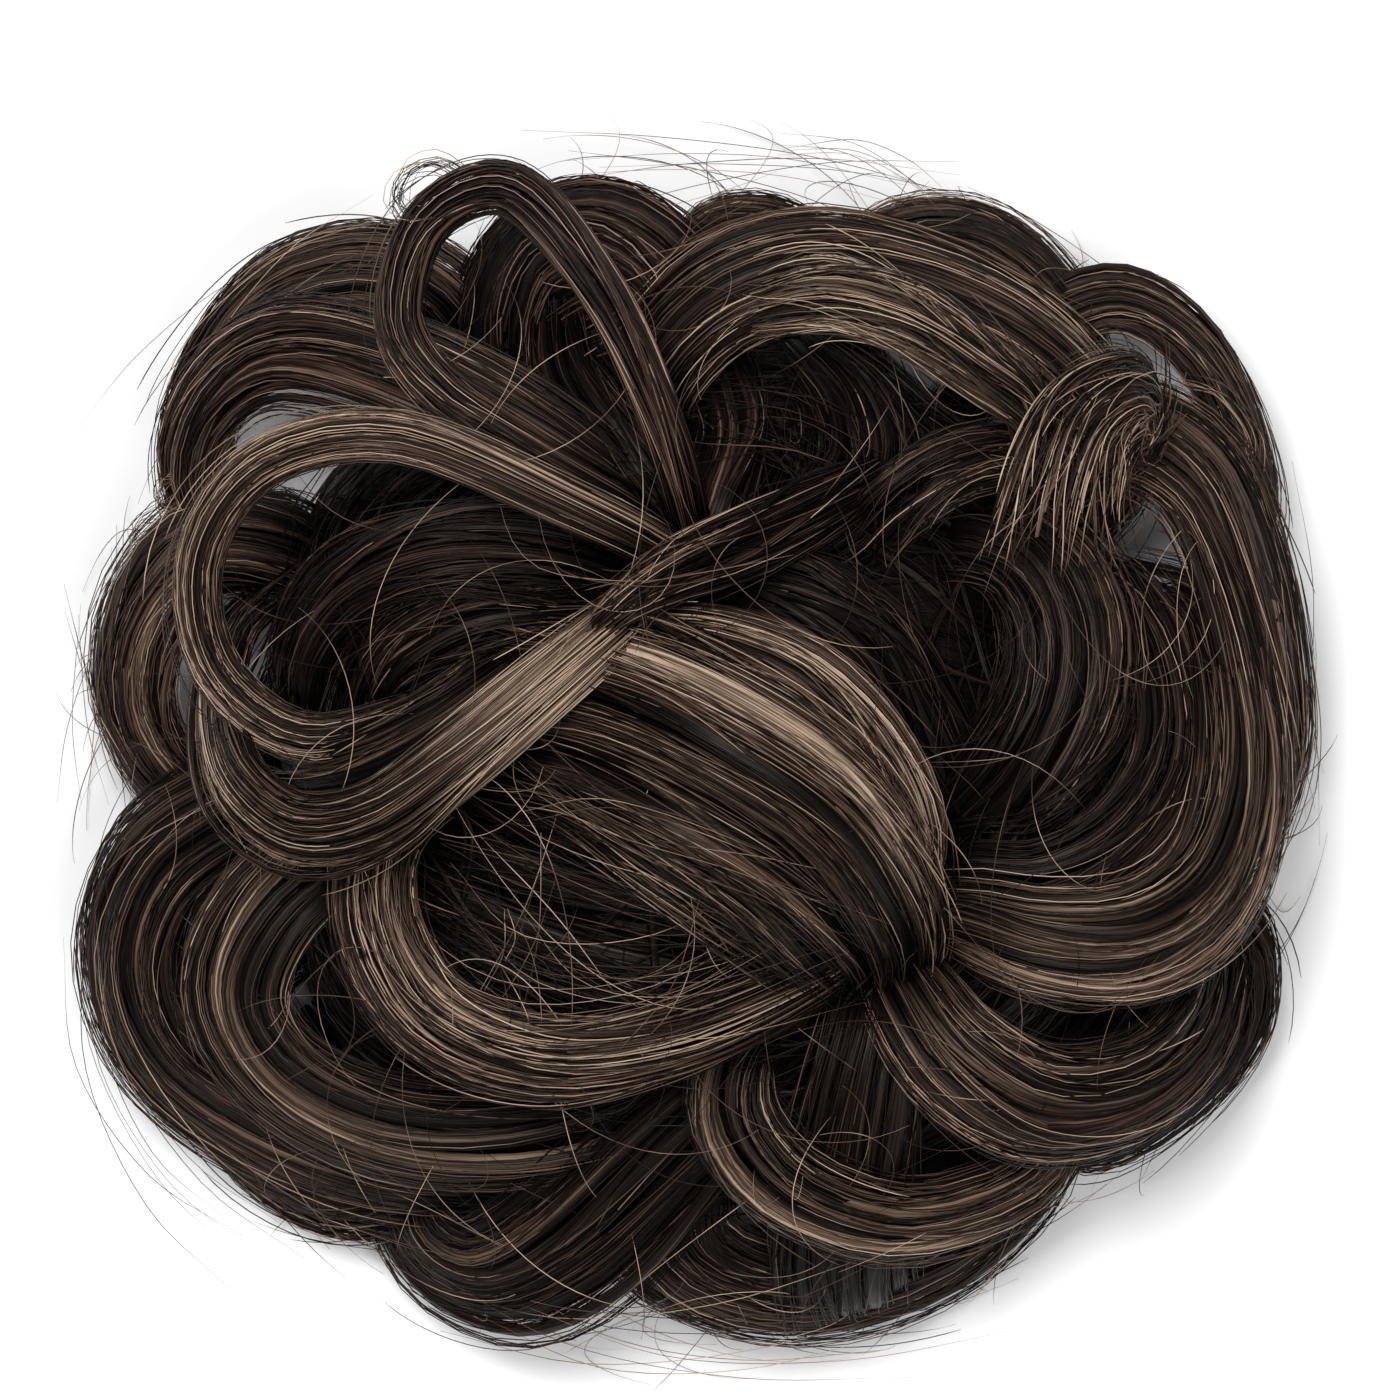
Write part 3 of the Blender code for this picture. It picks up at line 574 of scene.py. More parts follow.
petalBottomRight = {
    "width": 13, "thick": 6.5, "end": 0.6, "tone": 0.22, "spread": 0.17, "tint": 0.2,
    "bands": [(0.4, 0.4, 0.20)],
    "rows": [(17, -40, 42), (7, -49, 55), (6, -61, 56), (15, -72, 52), (31, -78, 46), (46, -76, 38),
        (58, -69, 29), (61, -56, 22), (52, -46, 18)]}
hairLock("petal_bottom_right", petalBottomRight)

petalBottomRightLow = {
    "width": 18, "thick": 7.5, "tone": 0.14, "spread": 0.10, "tint": 0.35,
    "rows": [(6, -50, 36), (-3, -67, 34), (-3, -83, 30), (12, -90.5, 24), (31, -89, 18), (48, -80, 13),
        (56, -67, 10), (48, -52, 10)]}
hairLock("petal_bottom_right_low", petalBottomRightLow)

# Lower right

petalLowRight = {
    "width": 16.5, "thick": 6.5, "root": 0.35, "end": 0.6, "tone": 0.26, "spread": 0.15, "tint": 0.35,
    "shine": [(0.2, 0.15, 0.12), (0.9, 0.3, -0.10)],
    "rows": [(31, -34, 40), (35, -40, 55), (43, -51, 60), (57, -59, 56), (73, -57, 46), (84, -47, 36),
        (86, -33, 27), (74, -24, 20)]}
hairLock("petal_low_right", petalLowRight)

petalLowRightOuter = {
    "width": 15, "thick": 6.5, "tone": 0.12, "spread": 0.09,
    "rows": [(50, -22, 16), (64, -24, 20), (78, -25, 20), (90, -33, 19), (91, -46, 16), (82, -58, 13),
        (68, -66, 10), (53, -61, 9)]}
hairLock("petal_low_right_outer", petalLowRightOuter)

petalRightLow = {
    "width": 16, "thick": 7, "root": 0.4, "end": 0.6, "tone": 0.27, "spread": 0.14, "tint": 0.3,
    "bands": [(0.7, 0.4, 0.32)], "shine": [(0.85, 0.2, -0.12)],
    "rows": [(34, -30, 40), (42, -27, 56), (57, -32, 64), (73, -32, 62), (85, -24, 54), (91, -9, 46),
        (91, 8, 40), (86, 24, 32), (71, 30, 24)]}
hairLock("petal_right_low", petalRightLow)

petalRightInner = {
    "width": 14, "thick": 6.5, "root": 0.45, "end": 0.6, "tone": 0.17, "spread": 0.11, "tint": 0.7,
    "rows": [(33, -24, 38), (43, -20, 53), (57, -21, 57), (70, -14, 55), (78, -2, 51), (78, 13, 45),
        (71, 26, 37), (58, 30, 28)]}
hairLock("petal_right_inner", petalRightInner)

# Right

swirlRight = {
    "width": 16.5, "thick": 7, "end": 0.45, "tone": 0.15, "bands": [(-0.8, 0.3, 0.26)],
    "rows": [(32, 31, 34), (43, 36, 46), (55, 32, 53), (61, 21, 57), (60, 8, 58), (53, -5, 56),
        (43, -14, 50), (35, -20, 38)]}
hairLock("swirl_right", swirlRight)

petalRight = {
    "width": 19, "thick": 7.5, "tone": 0.24,
    "rows": [(46, 34, 24), (60, 48, 36), (72, 53, 44), (84, 46, 44), (91, 31, 40), (95, 14, 33),
        (96, -3, 25), (89, -17, 17), (72, -20, 13)]}
hairLock("petal_right", petalRight)

petalTopRight = {
    "width": 10, "thick": 5.5, "root": 0.6, "end": 0.6, "tone": 0.20, "tint": 0.5,
    "rows": [(36, 44, 16), (46, 60, 22), (57, 71, 27), (71, 76, 28), (84, 68, 26), (92, 53, 23),
        (94, 38, 18), (85, 24, 12), (66, 22, 10)]}
hairLock("petal_top_right", petalTopRight)

# Top

sweepTop = {
    "width": 17.5, "thick": 6.5, "root": 0.55, "tone": 0.24, "spread": 0.16, "bands": [(-0.3, 0.4, 0.14)],
    "rows": [(-8, 50, 34), (-8, 63, 49), (3, 75, 58), (18, 80, 60), (34, 78, 58), (51, 71, 54),
        (64, 60, 48), (71, 46, 38), (62, 34, 28)]}
hairLock("sweep_top", sweepTop)

flickTop = {
    "width": 8, "thick": 3.8, "root": 0.6, "tone": 0.34, "spread": 0.16, "tint": 0.1, "hairs": 170,
    "shine": [(0.85, 0.25, 0.22)], "loose": 0.25, "fan": 0.8, "fray": 0.5, "taper": 0.4,
    "rows": [(40, 32, 36), (54, 46, 50), (55, 57, 62), (48, 63, 69), (36, 71, 73), (22, 75, 74),
        (9, 73, 71)]}
hairLock("flick_top", flickTop)

flickInner = {
    "width": 8, "thick": 3.8, "root": 0.6, "end": 0.6, "tone": 0.20, "spread": 0.14, "tint": 0.5,
    "hairs": 150, "loose": 0.25, "fan": 0.8, "fray": 0.4, "taper": 0.4,
    "rows": [(42, 30, 34), (56, 42, 48), (54, 49, 60), (44, 48, 65), (34, 42, 66), (26, 33, 61)]}
hairLock("flick_inner", flickInner)

flickRight = {
    "width": 8.5, "thick": 4.5, "end": 0.9, "tone": 0.20, "spread": 0.24, "hairs": 260,
    "shine": [(0.92, 0.17, 0.28)], "bands": [(-0.35, 0.45, 0.12)], "loose": 0.45, "strayReach": 0.0075,
    "fan": 1.5, "fray": 0.72, "taper": 0.6,
    "rows": [(46, 36, 32), (63, 46, 46), (74, 54.5, 58), (72, 58, 66), (65, 53, 70), (60.5, 42, 70.5),
        (58.5, 31, 66)]}
hairLock("flick_right", flickRight)

humpTopLeft = {
    "width": 15, "thick": 6, "root": 0.6, "end": 0.6, "tone": 0.20, "tint": 0.8,
    "rows": [(-30, 52, 26), (-34, 70, 38), (-28, 84, 44), (-17, 88, 47), (-6, 82, 47), (0, 70, 42),
        (-1, 55, 32)]}
hairLock("hump_top_left", humpTopLeft)

humpTopMid = {
    "width": 8, "thick": 5, "root": 0.6, "end": 0.6, "tone": 0.30, "tint": 0.3, "hairs": 110,
    "loose": 0.35,
    "rows": [(-6, 58, 20), (-5, 76, 31), (2, 87, 36), (12, 88.5, 37), (21, 82, 34), (27, 68, 27),
        (29, 54, 20)]}
hairLock("hump_top_mid", humpTopMid)

humpTopRight = {
    "width": 13, "thick": 6, "root": 0.6, "end": 0.6, "tone": 0.24, "tint": 0.5,
    "rows": [(22, 55, 16), (24, 74, 24), (34, 85, 28), (48, 85, 30), (60, 75, 27), (65, 60, 21),
        (58, 46, 17)]}
hairLock("hump_top_right", humpTopRight)

# Upper left rim

petalLeftTop = {
    "width": 15, "thick": 6, "root": 0.4, "end": 0.6, "tone": 0.27, "spread": 0.13, "tint": 0.6,
    "rows": [(0, 30, 42), (-9, 40, 55), (-28, 53, 62), (-49, 63, 60), (-68, 67, 53), (-80, 60, 44),
        (-85, 47, 33), (-78, 34, 22), (-62, 30, 18)]}
hairLock("petal_left_top", petalLeftTop)

petalTopLeft = {
    "width": 16, "thick": 6.5, "root": 0.55, "end": 0.55, "tone": 0.33,
    "rows": [(-32, 55, 20), (-39, 72, 32), (-52, 80, 36), (-68, 77, 34), (-79, 66, 28), (-84, 52, 21),
        (-76, 38, 14), (-58, 30, 12)]}
hairLock("petal_top_left", petalTopLeft)

petalLeft = {
    "width": 16, "thick": 6.5, "root": 0.55, "end": 0.55, "tone": 0.32, "spread": 0.13,
    "rows": [(-54, 26, 18), (-69, 33, 31), (-83, 33, 35), (-92, 21, 33), (-93, 6, 27), (-84, -7, 21),
        (-66, -10, 16)]}
hairLock("petal_left", petalLeft)

# Hair inside the bun, seen between the locks, given low tones and darkened further by the painted deep shade
# in makeMesh, so the hollows read as shade

cavityTop = {
    "width": 13, "thick": 6, "tone": 0.24, "spread": 0.16, "tint": 0.6, "loose": 0.5,
    "rows": [(4, 66, 38), (8, 53, 50), (4, 42, 58), (1, 33, 60)]}
hairLock("cavity_top", cavityTop)

cavityRight = {
    "width": 13, "thick": 6, "tone": 0.20, "spread": 0.14, "tint": 0.6, "loose": 0.5,
    "rows": [(17, 68, 40), (26, 58, 49), (28, 47, 54), (21, 37, 58), (11, 31.7, 60)]}
hairLock("cavity_right", cavityRight)

loopInside = {
    "width": 11, "thick": 5, "tone": 0.20, "tint": 0.8, "loose": 0.4,
    "rows": [(-23, 75, 42), (-21, 62, 52), (-12.5, 50, 58), (-2.5, 37, 60)]}
hairLock("loop_inside", loopInside)

hoopInside = {
    "width": 24, "thick": 8, "tone": 0.10, "spread": 0.20, "tint": 0.5, "loose": 0.7, "clumps": 16,
    "hairs": 230, "fair": 0.2,
    "rows": [(24, -34, 46), (1, -31.7, 58), (-22, -26, 58), (-40, -19, 54), (-50, -13, 44)]}
hairLock("hoop_inside", hoopInside)

underBottom = {
    "width": 26, "thick": 8, "tone": 0.14, "spread": 0.14, "tint": 0.5, "loose": 0.4, "root": 0.8,
    "end": 0.8, "clumps": 18, "hairs": 70,
    "rows": [(-62, -40, 10), (-45, -62, 12), (-16, -74, 13), (16, -74, 14), (46, -62, 13), (68, -44, 12),
        (78, -20, 11)]}
hairLock("under_bottom", underBottom)

humpInside = {
    "width": 16, "thick": 6, "tone": 0.24, "spread": 0.16, "tint": 0.7, "loose": 0.4, "root": 0.7,
    "end": 0.7,
    "rows": [(-40, 56, 30), (-28, 68, 38), (-14, 76, 42), (-2, 70, 38), (3, 56, 34)]}
hairLock("hump_inside", humpInside)

innerLeftBrown = {
    "width": 9, "thick": 4.5, "tone": 0.36, "spread": 0.14, "loose": 0.3,
    "rows": [(-7, 25, 56), (-22, 25, 63), (-37, 23.3, 64), (-49, 16.7, 60), (-56, 5, 50)]}
hairLock("inner_left_brown", innerLeftBrown)

# The dense hair that the locks grow from

core = {
    # the dome and the pocket for the wearer's own bun, in metres
    "radius": 0.060, "base": 0.0035, "top": 0.047, "pocket": 0.0205, "pocketDepth": 0.030, "seat": 0.0081,
    "weftRadius": 0.0335,
    "columns": 120, "rings": 26, "lobes": 10, "lobeDepth": 0.03, "domeTurn": 84,    # its grid, and degrees
    "darkTone": 0.08, "tone": 0.20, "footTone": 0.52, "footStrands": 150, "footWidths": (0.0007, 0.0014),
    "swings": (0.5, 1.9), "lows": (0.5, 1.0), "highs": (0.10, 0.8), "seed": 7,
    # arcs over the dome: count, samples, sides, thinness, half widths from and to, lift
    "layers": [(240, 14, 4, 0.6, 0.00022, 0.0007, 0.0040), (420, 14, 3, 1.0, 0.00008, 0.00011, 0.0080)],
}


def coreSurface(turn, height):
    # a low dome: radius by a sine to the power 0.8, height by a cosine to the power 0.9, with shallow lobes
    angle = np.clip(height, 0, 1) * np.radians(core["domeTurn"]) + 0 * turn
    lobes = 1 - core["lobeDepth"] * np.sin(angle) * (1 - np.cos(core["lobes"] * turn))
    radius = np.sin(angle) ** 0.8 * core["radius"] * lobes
    z = core["base"] + (core["top"] - core["base"]) * np.cos(angle) ** 0.9
    return np.stack([radius * np.cos(turn), radius * np.sin(turn), z], axis=-1)


def makeCore():
    # the dome and, turned under, its foot and the pocket for the wearer's own bun; then hairs swept over it
    rng = np.random.default_rng(core["seed"])
    around, up = core["columns"], core["rings"]
    turn = np.linspace(0, 2 * np.pi, around, endpoint=False)
    dome = coreSurface(turn[None] * np.ones((up, 1)), np.linspace(0.02, 1, up)[:, None])
    foot = [(core["radius"] * 0.95, core["base"]), (core["weftRadius"], core["base"]),
            (core["weftRadius"], core["seat"]), (core["pocket"], core["seat"]),
            (core["pocket"] * 0.97, core["pocketDepth"] * 0.72),
            (core["pocket"] * 0.7, core["pocketDepth"] * 0.95),
            (core["pocket"] * 0.15, core["pocketDepth"])]
    under = np.array([[(r * np.cos(a), r * np.sin(a), z) for a in turn] for r, z in foot])
    grid = np.concatenate([dome, under])
    rows = len(grid)
    quads, ends = ringFaces(rows, around)
    tone = np.full(rows * around, core["darkTone"])
    sweep = spreadMap(turn[None] * 0.05 + np.linspace(0, 0.09, rows)[:, None] * 0.8,
                      np.linspace(0, 0.12, rows)[:, None])
    bundles = [(grid.reshape(-1, 3), quads, ends, tone, np.full(len(tone), 0.5), sweep)]

    for count, samples, sides, slim, wideFrom, wideTo, liftTo in core["layers"]:
        # arcs over the dome: round by swing, up and down by a sine, a little above the surface
        t = np.linspace(0, 1, samples)
        first = rng.uniform(0, 2 * np.pi, (count, 1))
        swing = rng.choice([-1, 1], (count, 1)) * rng.uniform(*core["swings"], (count, 1))
        low, high = (rng.uniform(*core[key], (count, 1)) for key in ("lows", "highs"))
        height = low + (high - low) * np.sin(np.pi * t) ** 0.8 * rng.uniform(0.2, 1.0, (count, 1))
        spot = coreSurface(first + swing * t, height)
        lift = rng.uniform(0.0006, liftTo, (count, 1)) * np.sin(np.pi * np.clip(t, 0.08, 0.92))
        out = unit(spot * np.array([1, 1, 1.1]))
        centre = spot + out * lift[..., None]
        tangent = unit(np.gradient(centre, axis=1))
        facing = unit(out - tangent * (out * tangent).sum(-1, keepdims=True))
        side = unit(np.cross(tangent, facing))
        taper = np.clip(np.minimum(t, 1 - t) / 0.2, 0.3, 1)
        radius = rng.uniform(wideFrom, wideTo, (count, 1)) * taper
        tube = tubes(centre, side, facing, radius, radius * slim, sides)
        tone = np.clip(rng.normal(core["tone"], 0.12, (count, 1)), 0, 0.6) * np.ones((1, samples))
        tint = rng.uniform(0, 1, (count, 1)) * np.ones((1, samples))
        streakU = rng.uniform(0, 3, (count, 1, 1)) + np.arange(sides) * 2 * wideTo / sides
        streakV = rng.uniform(0, 3, (count, 1, 1)) + 0.06 * t[None, :, None]
        bundles.append(mapped(tube, sides, tone, tint, streakU, streakV))
    # strands that come out from under the weft and run outwards along the core's underside
    count, samples, sides = core["footStrands"], 12, 4
    t = np.linspace(0, 1, samples)
    first = np.linspace(0, 2 * np.pi, count, endpoint=False)[:, None] + rng.normal(0, 0.02, (count, 1))
    turned = first + rng.normal(0.5, 0.2, (count, 1)) * t
    reach = core["radius"] * rng.uniform(0.9, 1.0, (count, 1)) - core["weftRadius"]
    out = core["weftRadius"] - 0.001 + reach * t
    z = core["base"] - 0.0004 - 0.0012 * np.sin(np.pi * t) * rng.uniform(0.2, 1, (count, 1)) + 0.004 * t ** 3
    centre = np.stack([out * np.cos(turned), out * np.sin(turned), z + 0 * turned], axis=-1)
    side, facing = strandFrame(centre, np.array([0, 0, -1.0]))
    halfAcross = rng.uniform(*core["footWidths"], (count, 1)) * np.clip(6 * np.minimum(t, 1 - t), 0.3, 1)
    tube = tubes(centre, side, facing, halfAcross, halfAcross * 0.45, sides)
    tone = rng.normal(core["footTone"], 0.10, (count, 1)) * np.ones(samples)
    streakU = rng.uniform(0, 3, (count, 1, 1)) + np.arange(sides) * 0.0008
    streakV = rng.uniform(0, 3, (count, 1, 1)) + 0.03 * t[:, None]
    bundles.append(mapped(tube, sides, tone, 0 * tone + 0.4, streakU, streakV))
    piece = makeMesh("hair_core_hair", bundles)
    dressPiece(piece, hairFinish, "hair_core")


makeCore()

# The knitted elastic band and the sewn weft around it, on the underside

elasticBand = {
    "ringRadius": 0.0215, "cordRadius": 0.00275, "middle": 0.0033,
    "plies": 96, "plyDepth": 0.00016, "columns": 384, "section": 14, "tone": 0.62, "plyShade": 0.16,
    "yarn": {
        "fineHairs": 2600, "broadHairs": 900, "contrast": 0.22, "relief": 0.0003,
        "darkest": (0.004, 0.004, 0.004), "dark": (0.010, 0.009, 0.009), "middle": (0.030, 0.027, 0.026),
        "light": (0.085, 0.080, 0.078), "plum": (1.0, 1.0, 1.0),
        "roughness": 0.85, "shine": 0.2, "shineColour": (1.0, 1.0, 1.0)},
}
weftRing = {
    "inner": 0.0240, "outer": 0.0330, "height": 0.0074, "columns": 360,
    "folds": (97, 141), "foldDepth": 0.00022, "tone": 0.52, "threadTone": 0.85,
    "stitchRows": (0.0262, 0.0290, 0.0317), "stitches": 84, "stitchLength": 0.0013, "threadRadius": 0.0003,
}


def closedGrid(grid):
    # quads over a grid of columns and section points that closes on itself both ways
    columns, section = grid.shape[:2]
    column, point = np.meshgrid(np.arange(columns), np.arange(section), indexing="ij")
    nextColumn, nextPoint = (column + 1) % columns, (point + 1) % section
    quads = np.stack([column * section + point, nextColumn * section + point,
                      nextColumn * section + nextPoint, column * section + nextPoint], axis=-1)
    return grid.reshape(-1, 3), quads.reshape(-1, 4), np.zeros((0, 3), int)


def makeElasticBand():
    # a ring of twisted plies: the cord's radius swells by a cosine that winds around it
    turn = np.linspace(0, 2 * np.pi, elasticBand["columns"], endpoint=False)[:, None]
    bend = np.linspace(0, 2 * np.pi, elasticBand["section"], endpoint=False)[None]
    ply = np.cos(elasticBand["plies"] * turn + 2 * bend)
    thick = elasticBand["cordRadius"] + elasticBand["plyDepth"] * ply
    out = elasticBand["ringRadius"] + thick * np.cos(bend)
    z = elasticBand["middle"] + thick * np.sin(bend)
    grid = np.stack([out * np.cos(turn), out * np.sin(turn), z], axis=-1)
    points, quads, ends = closedGrid(grid)
    # painted shade: the plies' crests are lighter and the grooves between them darker, by the same cosine
    # that shapes them
    tone = elasticBand["tone"] + elasticBand["plyShade"] * ply
    streak = spreadMap(turn * elasticBand["ringRadius"] + bend * 0.002, bend * 0.003)
    piece = makeMesh("elastic_band_knit", [(points, quads, ends, tone.ravel(), 0 * tone.ravel(), streak)])
    dressPiece(piece, hairMaterial("elasticYarn", elasticBand["yarn"]), "elastic_band")


def makeWeftRing():
    # a flat band of gathered hair ends, folded by two sines round the ring, with thread sewn into its foot
    inner, outer, top = weftRing["inner"], weftRing["outer"], weftRing["height"]
    middle = 0.5 * inner + 0.5 * outer
    profile = np.array([
        (inner, 0.0016), (inner + 0.0006, 0.0008), (middle, 0.0006), (outer - 0.0006, 0.0007),
        (outer, 0.0014), (outer, 0.5 * top), (outer - 0.0002, top - 0.0006), (outer - 0.0008, top),
        (middle, top), (inner + 0.0006, top), (inner + 0.0001, 0.75 * top), (inner + 0.0002, 0.5 * top)])
    turn = np.linspace(0, 2 * np.pi, weftRing["columns"], endpoint=False)[:, None]
    first, second = weftRing["folds"]
    fold = weftRing["foldDepth"] * (np.cos(first * turn) + 0.5 * np.sin(second * turn))
    out, z = profile[:, 0] + fold * 0.6, profile[:, 1] + fold * np.linspace(1, -1, len(profile))
    grid = np.stack([out * np.cos(turn), out * np.sin(turn), z], axis=-1)
    points, quads, ends = closedGrid(grid)
    tone = np.full(len(points), weftRing["tone"])
    streak = spreadMap(turn * 0.028, profile[:, 0] + profile[:, 1])
    bundles = [(points, quads, ends, tone, np.full(len(points), 0.3), streak)]
    # stitches: short bars along the ring in each row, every other row half a step on
    spots = [(radius, 2 * np.pi * (k + 0.5 * (row % 2)) / weftRing["stitches"])
             for row, radius in enumerate(weftRing["stitchRows"]) for k in range(weftRing["stitches"])]
    radius, angle = np.array(spots).T[:, :, None]
    t = np.linspace(-0.5, 0.5, 5)
    swung = angle + t * weftRing["stitchLength"] / radius
    lift = 0.0006 - 0.0002 * np.cos(np.pi * t)
    centre = np.stack([radius * np.cos(swung), radius * np.sin(swung), lift + 0 * swung], axis=-1)
    side = unit(centre * np.array([1, 1, 0]))
    down = np.zeros_like(centre) + np.array([0, 0, 1.0])
    thread = weftRing["threadRadius"] * np.sqrt(np.clip(1 - (1.8 * t) ** 2, 0.1, 1)) * np.ones_like(swung)
    ring, quads, ends = tubes(centre, side, down, thread, thread, 4)
    bundles.append((ring, quads, ends, np.full(len(ring), weftRing["threadTone"]), np.zeros(len(ring)),
                    spreadMap(np.arange(len(ring)) * 0.0003, 0)))
    piece = makeMesh("weft_ring_sewn", bundles)
    dressPiece(piece, hairFinish, "weft_ring")


makeElasticBand()
makeWeftRing()

# Single hairs that stray over the whole bun

flyaways = {
    "count": 420, "samples": 18, "seed": 23, "tone": 0.30, "fair": 0.5, "fairTone": 0.74,
    "lengths": (0.010, 0.042), "bends": (0.009, 0.035), "lifts": (0.95, 1.01), "rise": 0.035,
    "startDome": (0.08, 0.08, 0.07), "thinness": 0.38,
    # chosen strays: how many hairs together, how far their ends part in metres, and their rows
    "chosen": [
        (5, 0.0009, [(14, 100.8, 42), (26, 100, 45), (35, 95, 46), (41, 89, 44)]),
        (2, 0.0009, [(-29, 40, 92), (-27.6, 34.2, 94), (-22.6, 29.2, 96), (-9.2, 27.5, 96),
            (2.4, 29.2, 92), (14.1, 31.7, 86)]),
        (16, 0.0009, [(-34, 90, 78), (-44, 87, 74), (-49.5, 90, 70), (-48.5, 95.5, 68), (-43, 97.5, 70),
            (-37, 94, 74), (-30, 90, 77)]),
        (9, 0.0009, [(-78, 50, 40), (-84.2, 46.7, 36), (-89.6, 45, 34), (-90, 40.8, 33),
            (-84.2, 38.3, 34)]),
        (8, 0.0009, [(-82, 45, 36), (-89.2, 40.8, 33), (-95, 37.5, 32), (-93.4, 32.5, 31),
            (-87.6, 33.7, 32)]),
        (12, 0.0009, [(80, 62, 34), (88, 60, 33), (93.5, 53, 31), (93, 45, 30)]),
        (3, 0.0009, [(30, 25, 84), (34.9, 21.7, 84), (40, 10, 84), (39.1, -1.7, 86)]),
        (3, 0.0009, [(-27, -10, 96), (-12.5, -8.3, 99), (10.8, -16.7, 99), (22.5, -25, 90)]),
        (2, 0.0009, [(40, -27, 80), (55, -42, 78), (68, -44, 70), (77, -34, 62)]),
        (14, 0.0035, [(-52, -12, 70), (-48, -34, 74), (-30, -44, 78), (-5, -42, 80), (22, -30, 76)]),
        (14, 0.0040, [(-44, -22, 72), (-28, -36, 76), (-2, -38.5, 78), (24, -30, 74)]),
        (9, 0.0030, [(-30, 2, 90), (-12, -11, 96), (9, -19, 97), (26, -27, 84)]),
        (10, 0.0035, [(-36, -6, 84), (-22, -17, 88), (-3, -25, 88), (22, -29, 80)]),
        (6, 0.0025, [(62, 56, 76), (58.5, 46, 76), (53, 37, 74), (50, 29, 70)]),
        (7, 0.0025, [(70, 54, 74), (68, 44, 75), (69, 34, 73), (73, 25, 68)]),
        (12, 0.0045, [(-29, -47, 74), (-27, -35, 78), (-28, -22, 80)]),
        (12, 0.0045, [(-10, -44, 78), (2, -36, 80), (10, -24, 82)]),
        (8, 0.0040, [(-86, 52, 40), (-78, 66, 42), (-66, 79, 44), (-52, 87, 45)]),
        (8, 0.0040, [(-22, 94, 46), (-2, 95.5, 42), (20, 95, 38), (42, 91, 36)]),
        (8, 0.0035, [(-101, 28, 36), (-102.5, 5, 34), (-101, -12, 33)]),
        (8, 0.0040, [(-102, -25, 34), (-100, -48, 34), (-88, -68, 32), (-72, -80, 30)]),
        (8, 0.0040, [(-45, -90, 28), (-20, -99, 28), (10, -100, 28), (40, -95, 28)]),
        (8, 0.0040, [(93, 50, 36), (100, 30, 36), (102, 8, 36), (99, -14, 34)]),
    ],
}


def makeFlyaways():
    # arcs of one bend laid on the outer dome: a start point and heading, then the arc pushed out to the dome.
    # Each arc's first stretch is drawn down to the nearest point of a lock, where the hair is rooted.
    rng = np.random.default_rng(flyaways["seed"])
    count, samples = flyaways["count"], flyaways["samples"]
    t = np.linspace(0, 1, samples)
    turn, low = rng.uniform(0, 2 * np.pi, count), rng.uniform(0.05, 1, count)
    flat = np.sqrt(1 - low ** 2)
    start = np.stack([flat * np.cos(turn), flat * np.sin(turn), low], axis=1) * flyaways["startDome"]
    heading = rng.normal(0, 1, (count, 3))
    normal = unit(start)
    u = unit(heading - normal * (heading * normal).sum(1, keepdims=True))
    v = np.cross(normal, u)
    length, bend = (rng.uniform(*flyaways[key], (count, 1)) for key in ("lengths", "bends"))
    swept = length / bend * t
    points = start[:, None] + u[:, None] * (bend * np.sin(swept))[..., None] \
        + v[:, None] * (bend * (1 - np.cos(swept)))[..., None]
    points[..., 2] = np.maximum(points[..., 2], 0.001)
    dome = domeShare(points)
    lift = rng.uniform(*flyaways["lifts"], (count, 1)) + flyaways["rise"] * rng.random((count, 1)) * t ** 2
    arcs = points * (lift / dome)[..., None]
    spots = np.concatenate(lockPaths)
    nearest = spots[np.linalg.norm(arcs[:, :1] - spots, axis=-1).argmin(axis=1)]
    arcs = [arcs + (nearest[:, None] - arcs[:, :1]) * ((1 - t) ** 2)[:, None]]
    for number, parting, rows in flyaways["chosen"]:
        path, _ = smoothPath(placed(rows), samples)
        spread = rng.normal(0, parting, (number, 2, 3))
        arcs.append(path + spread[:, :1] * (1 - t)[:, None] + spread[:, 1:] * t[:, None])
    centre = np.concatenate(arcs)
    total = len(centre)
    side, facing = strandFrame(centre, unit(centre))
    radius = flyaways["thinness"] * bun["hairThickness"] * rng.uniform(0.7, 1.1, (total, 1))
    radius = radius * np.clip(4 * np.minimum(t, 1 - t), 0.4, 1)
    tube = tubes(centre, side, facing, radius, radius, 3)
    fair = rng.random((total, 1)) < flyaways["fair"]
    tone = np.where(fair, flyaways["fairTone"], flyaways["tone"]) + rng.normal(0, 0.1, (total, 1)) + 0 * t
    tint = rng.uniform(0, 0.6, (total, 1)) + 0 * t
    streakU = rng.uniform(0, 3, (total, 1, 1)) * np.ones(3)
    piece = makeMesh("flyaway_hairs", [mapped(tube, 3, tone, tint, streakU, 0.05 * t[:, None])])
    dressPiece(piece, hairFinish)


makeFlyaways()

# Table, light and camera

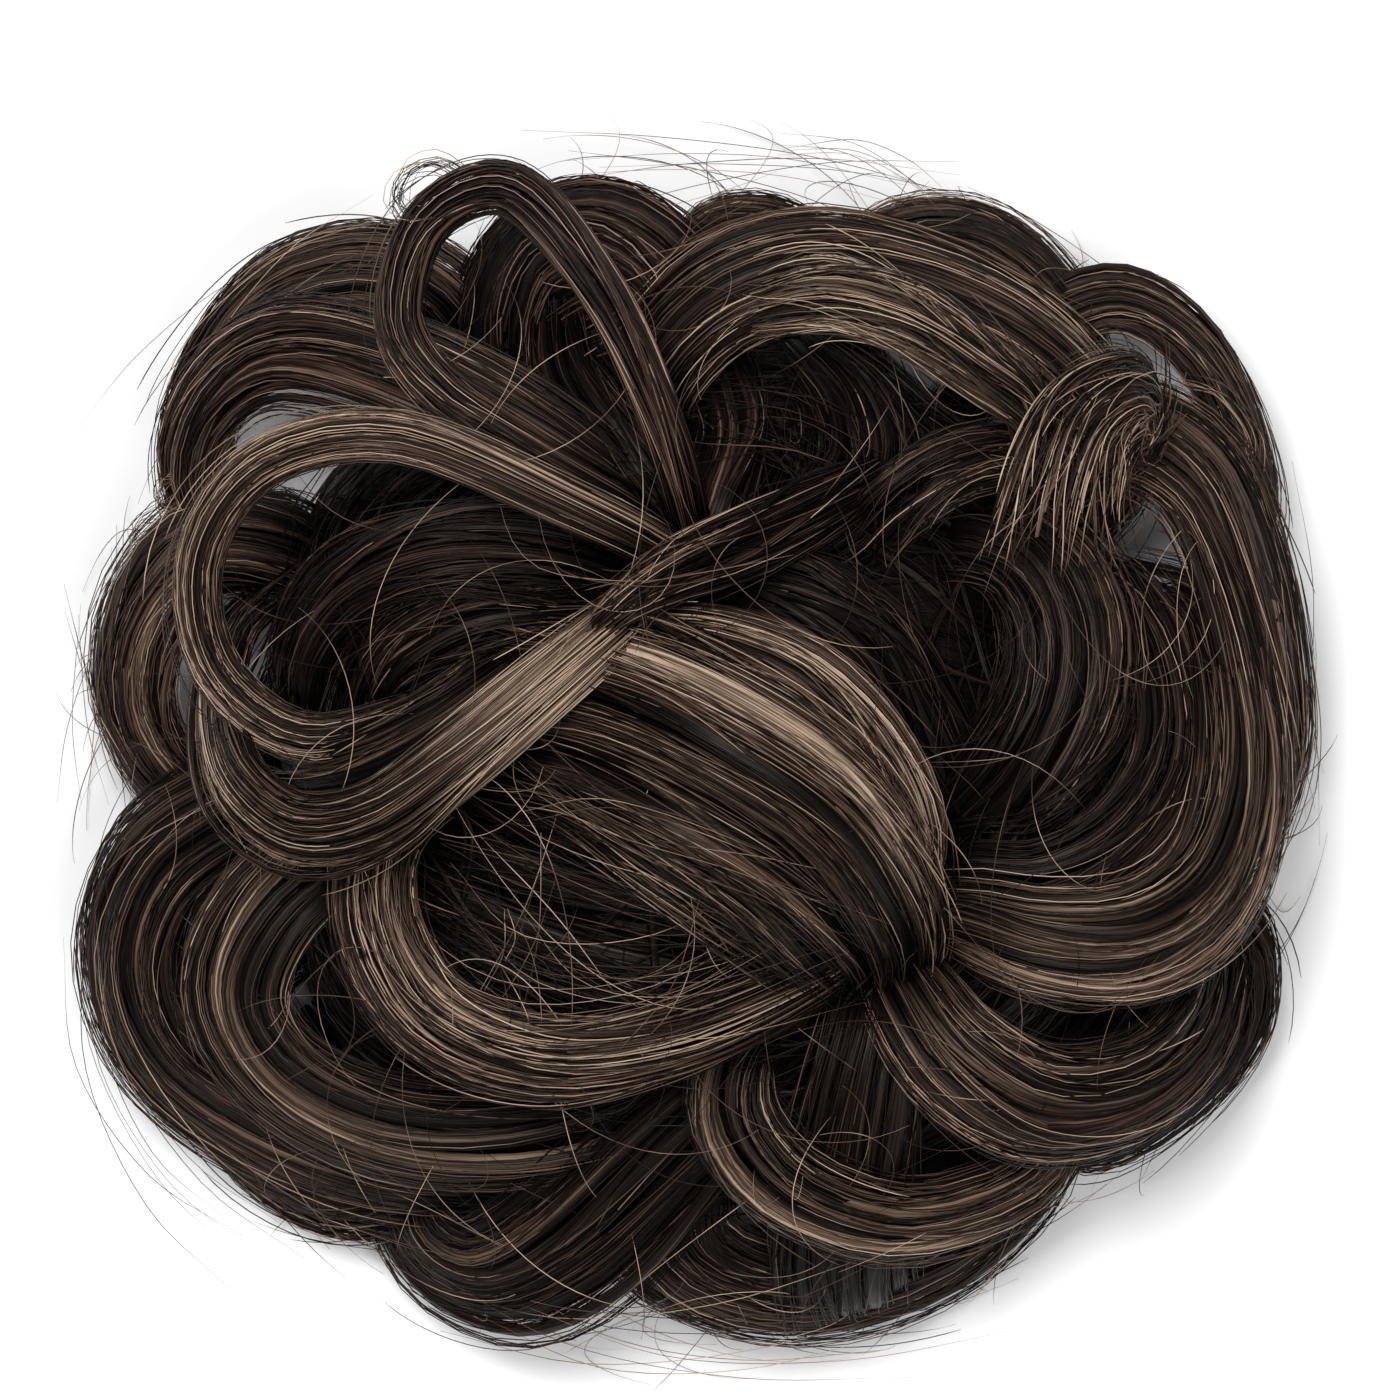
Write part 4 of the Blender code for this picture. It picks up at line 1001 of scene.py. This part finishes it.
studio = {
    "floorSize": 1.6, "floorGap": 0.0002, "floorColour": (0.93, 0.93, 0.93),
    "keyPower": 25, "keyPlace": (-0.28, 0.40, 1.60), "keySize": 0.55,
    "fillPower": 12, "fillPlace": (0.40, -0.45, 1.60), "fillSize": 0.7,
    "sky": 0.22,
    "lightAim": (0, 0, 0.03), "cameraHeight": 2.0, "lens": 395, "aim": (0.0006, 0.0065, 0.04),
}


def makeFloor():
    # a flat square just under the part
    half, low = studio["floorSize"] / 2, -studio["floorGap"]
    mesh = bpy.data.meshes.new("floor")
    corners = [(-half, -half, low), (half, -half, low), (half, half, low), (-half, half, low)]
    mesh.from_pydata(corners, [], [(0, 1, 2, 3)])
    floor = bpy.data.objects.new("floor", mesh)
    scene.collection.objects.link(floor)
    paper = bpy.data.materials.new("palePaper")
    paper.use_nodes = True
    shader = paper.node_tree.nodes["Principled BSDF"]
    shader.inputs["Base Color"].default_value = (*studio["floorColour"], 1)
    shader.inputs["Roughness"].default_value = 0.9
    mesh.materials.append(paper)


def areaLight(name, place, size, power):
    # a square soft light that points at the middle of the bun
    light = bpy.data.lights.new(name, "AREA")
    light.size, light.energy = size, power
    lamp = bpy.data.objects.new(name, light)
    lamp.location = place
    away = np.array(place) - studio["lightAim"]
    lamp.rotation_euler = (np.arctan2(np.hypot(away[0], away[1]), away[2]), 0, np.arctan2(away[0], -away[1]))
    scene.collection.objects.link(lamp)


makeFloor()
areaLight("keyLight", studio["keyPlace"], studio["keySize"], studio["keyPower"])
areaLight("fillLight", studio["fillPlace"], studio["fillSize"], studio["fillPower"])
sky = bpy.data.worlds.new("softRoom")
scene.world = sky
sky.use_nodes = True
sky.node_tree.nodes["Background"].inputs["Color"].default_value = (1, 1, 1, 1)
sky.node_tree.nodes["Background"].inputs["Strength"].default_value = studio["sky"]
scene.view_settings.view_transform = "Standard"

cameraData = bpy.data.cameras.new("camera")
cameraData.lens = studio["lens"]
cameraData.sensor_width = 36
cameraData.clip_end = 10
camera = bpy.data.objects.new("camera", cameraData)
camera.location = (studio["aim"][0], studio["aim"][1], studio["aim"][2] + studio["cameraHeight"])
scene.collection.objects.link(camera)
scene.camera = camera
print("pieces built:", len(built), "triangles:", sum(triangles(piece) for piece in built))
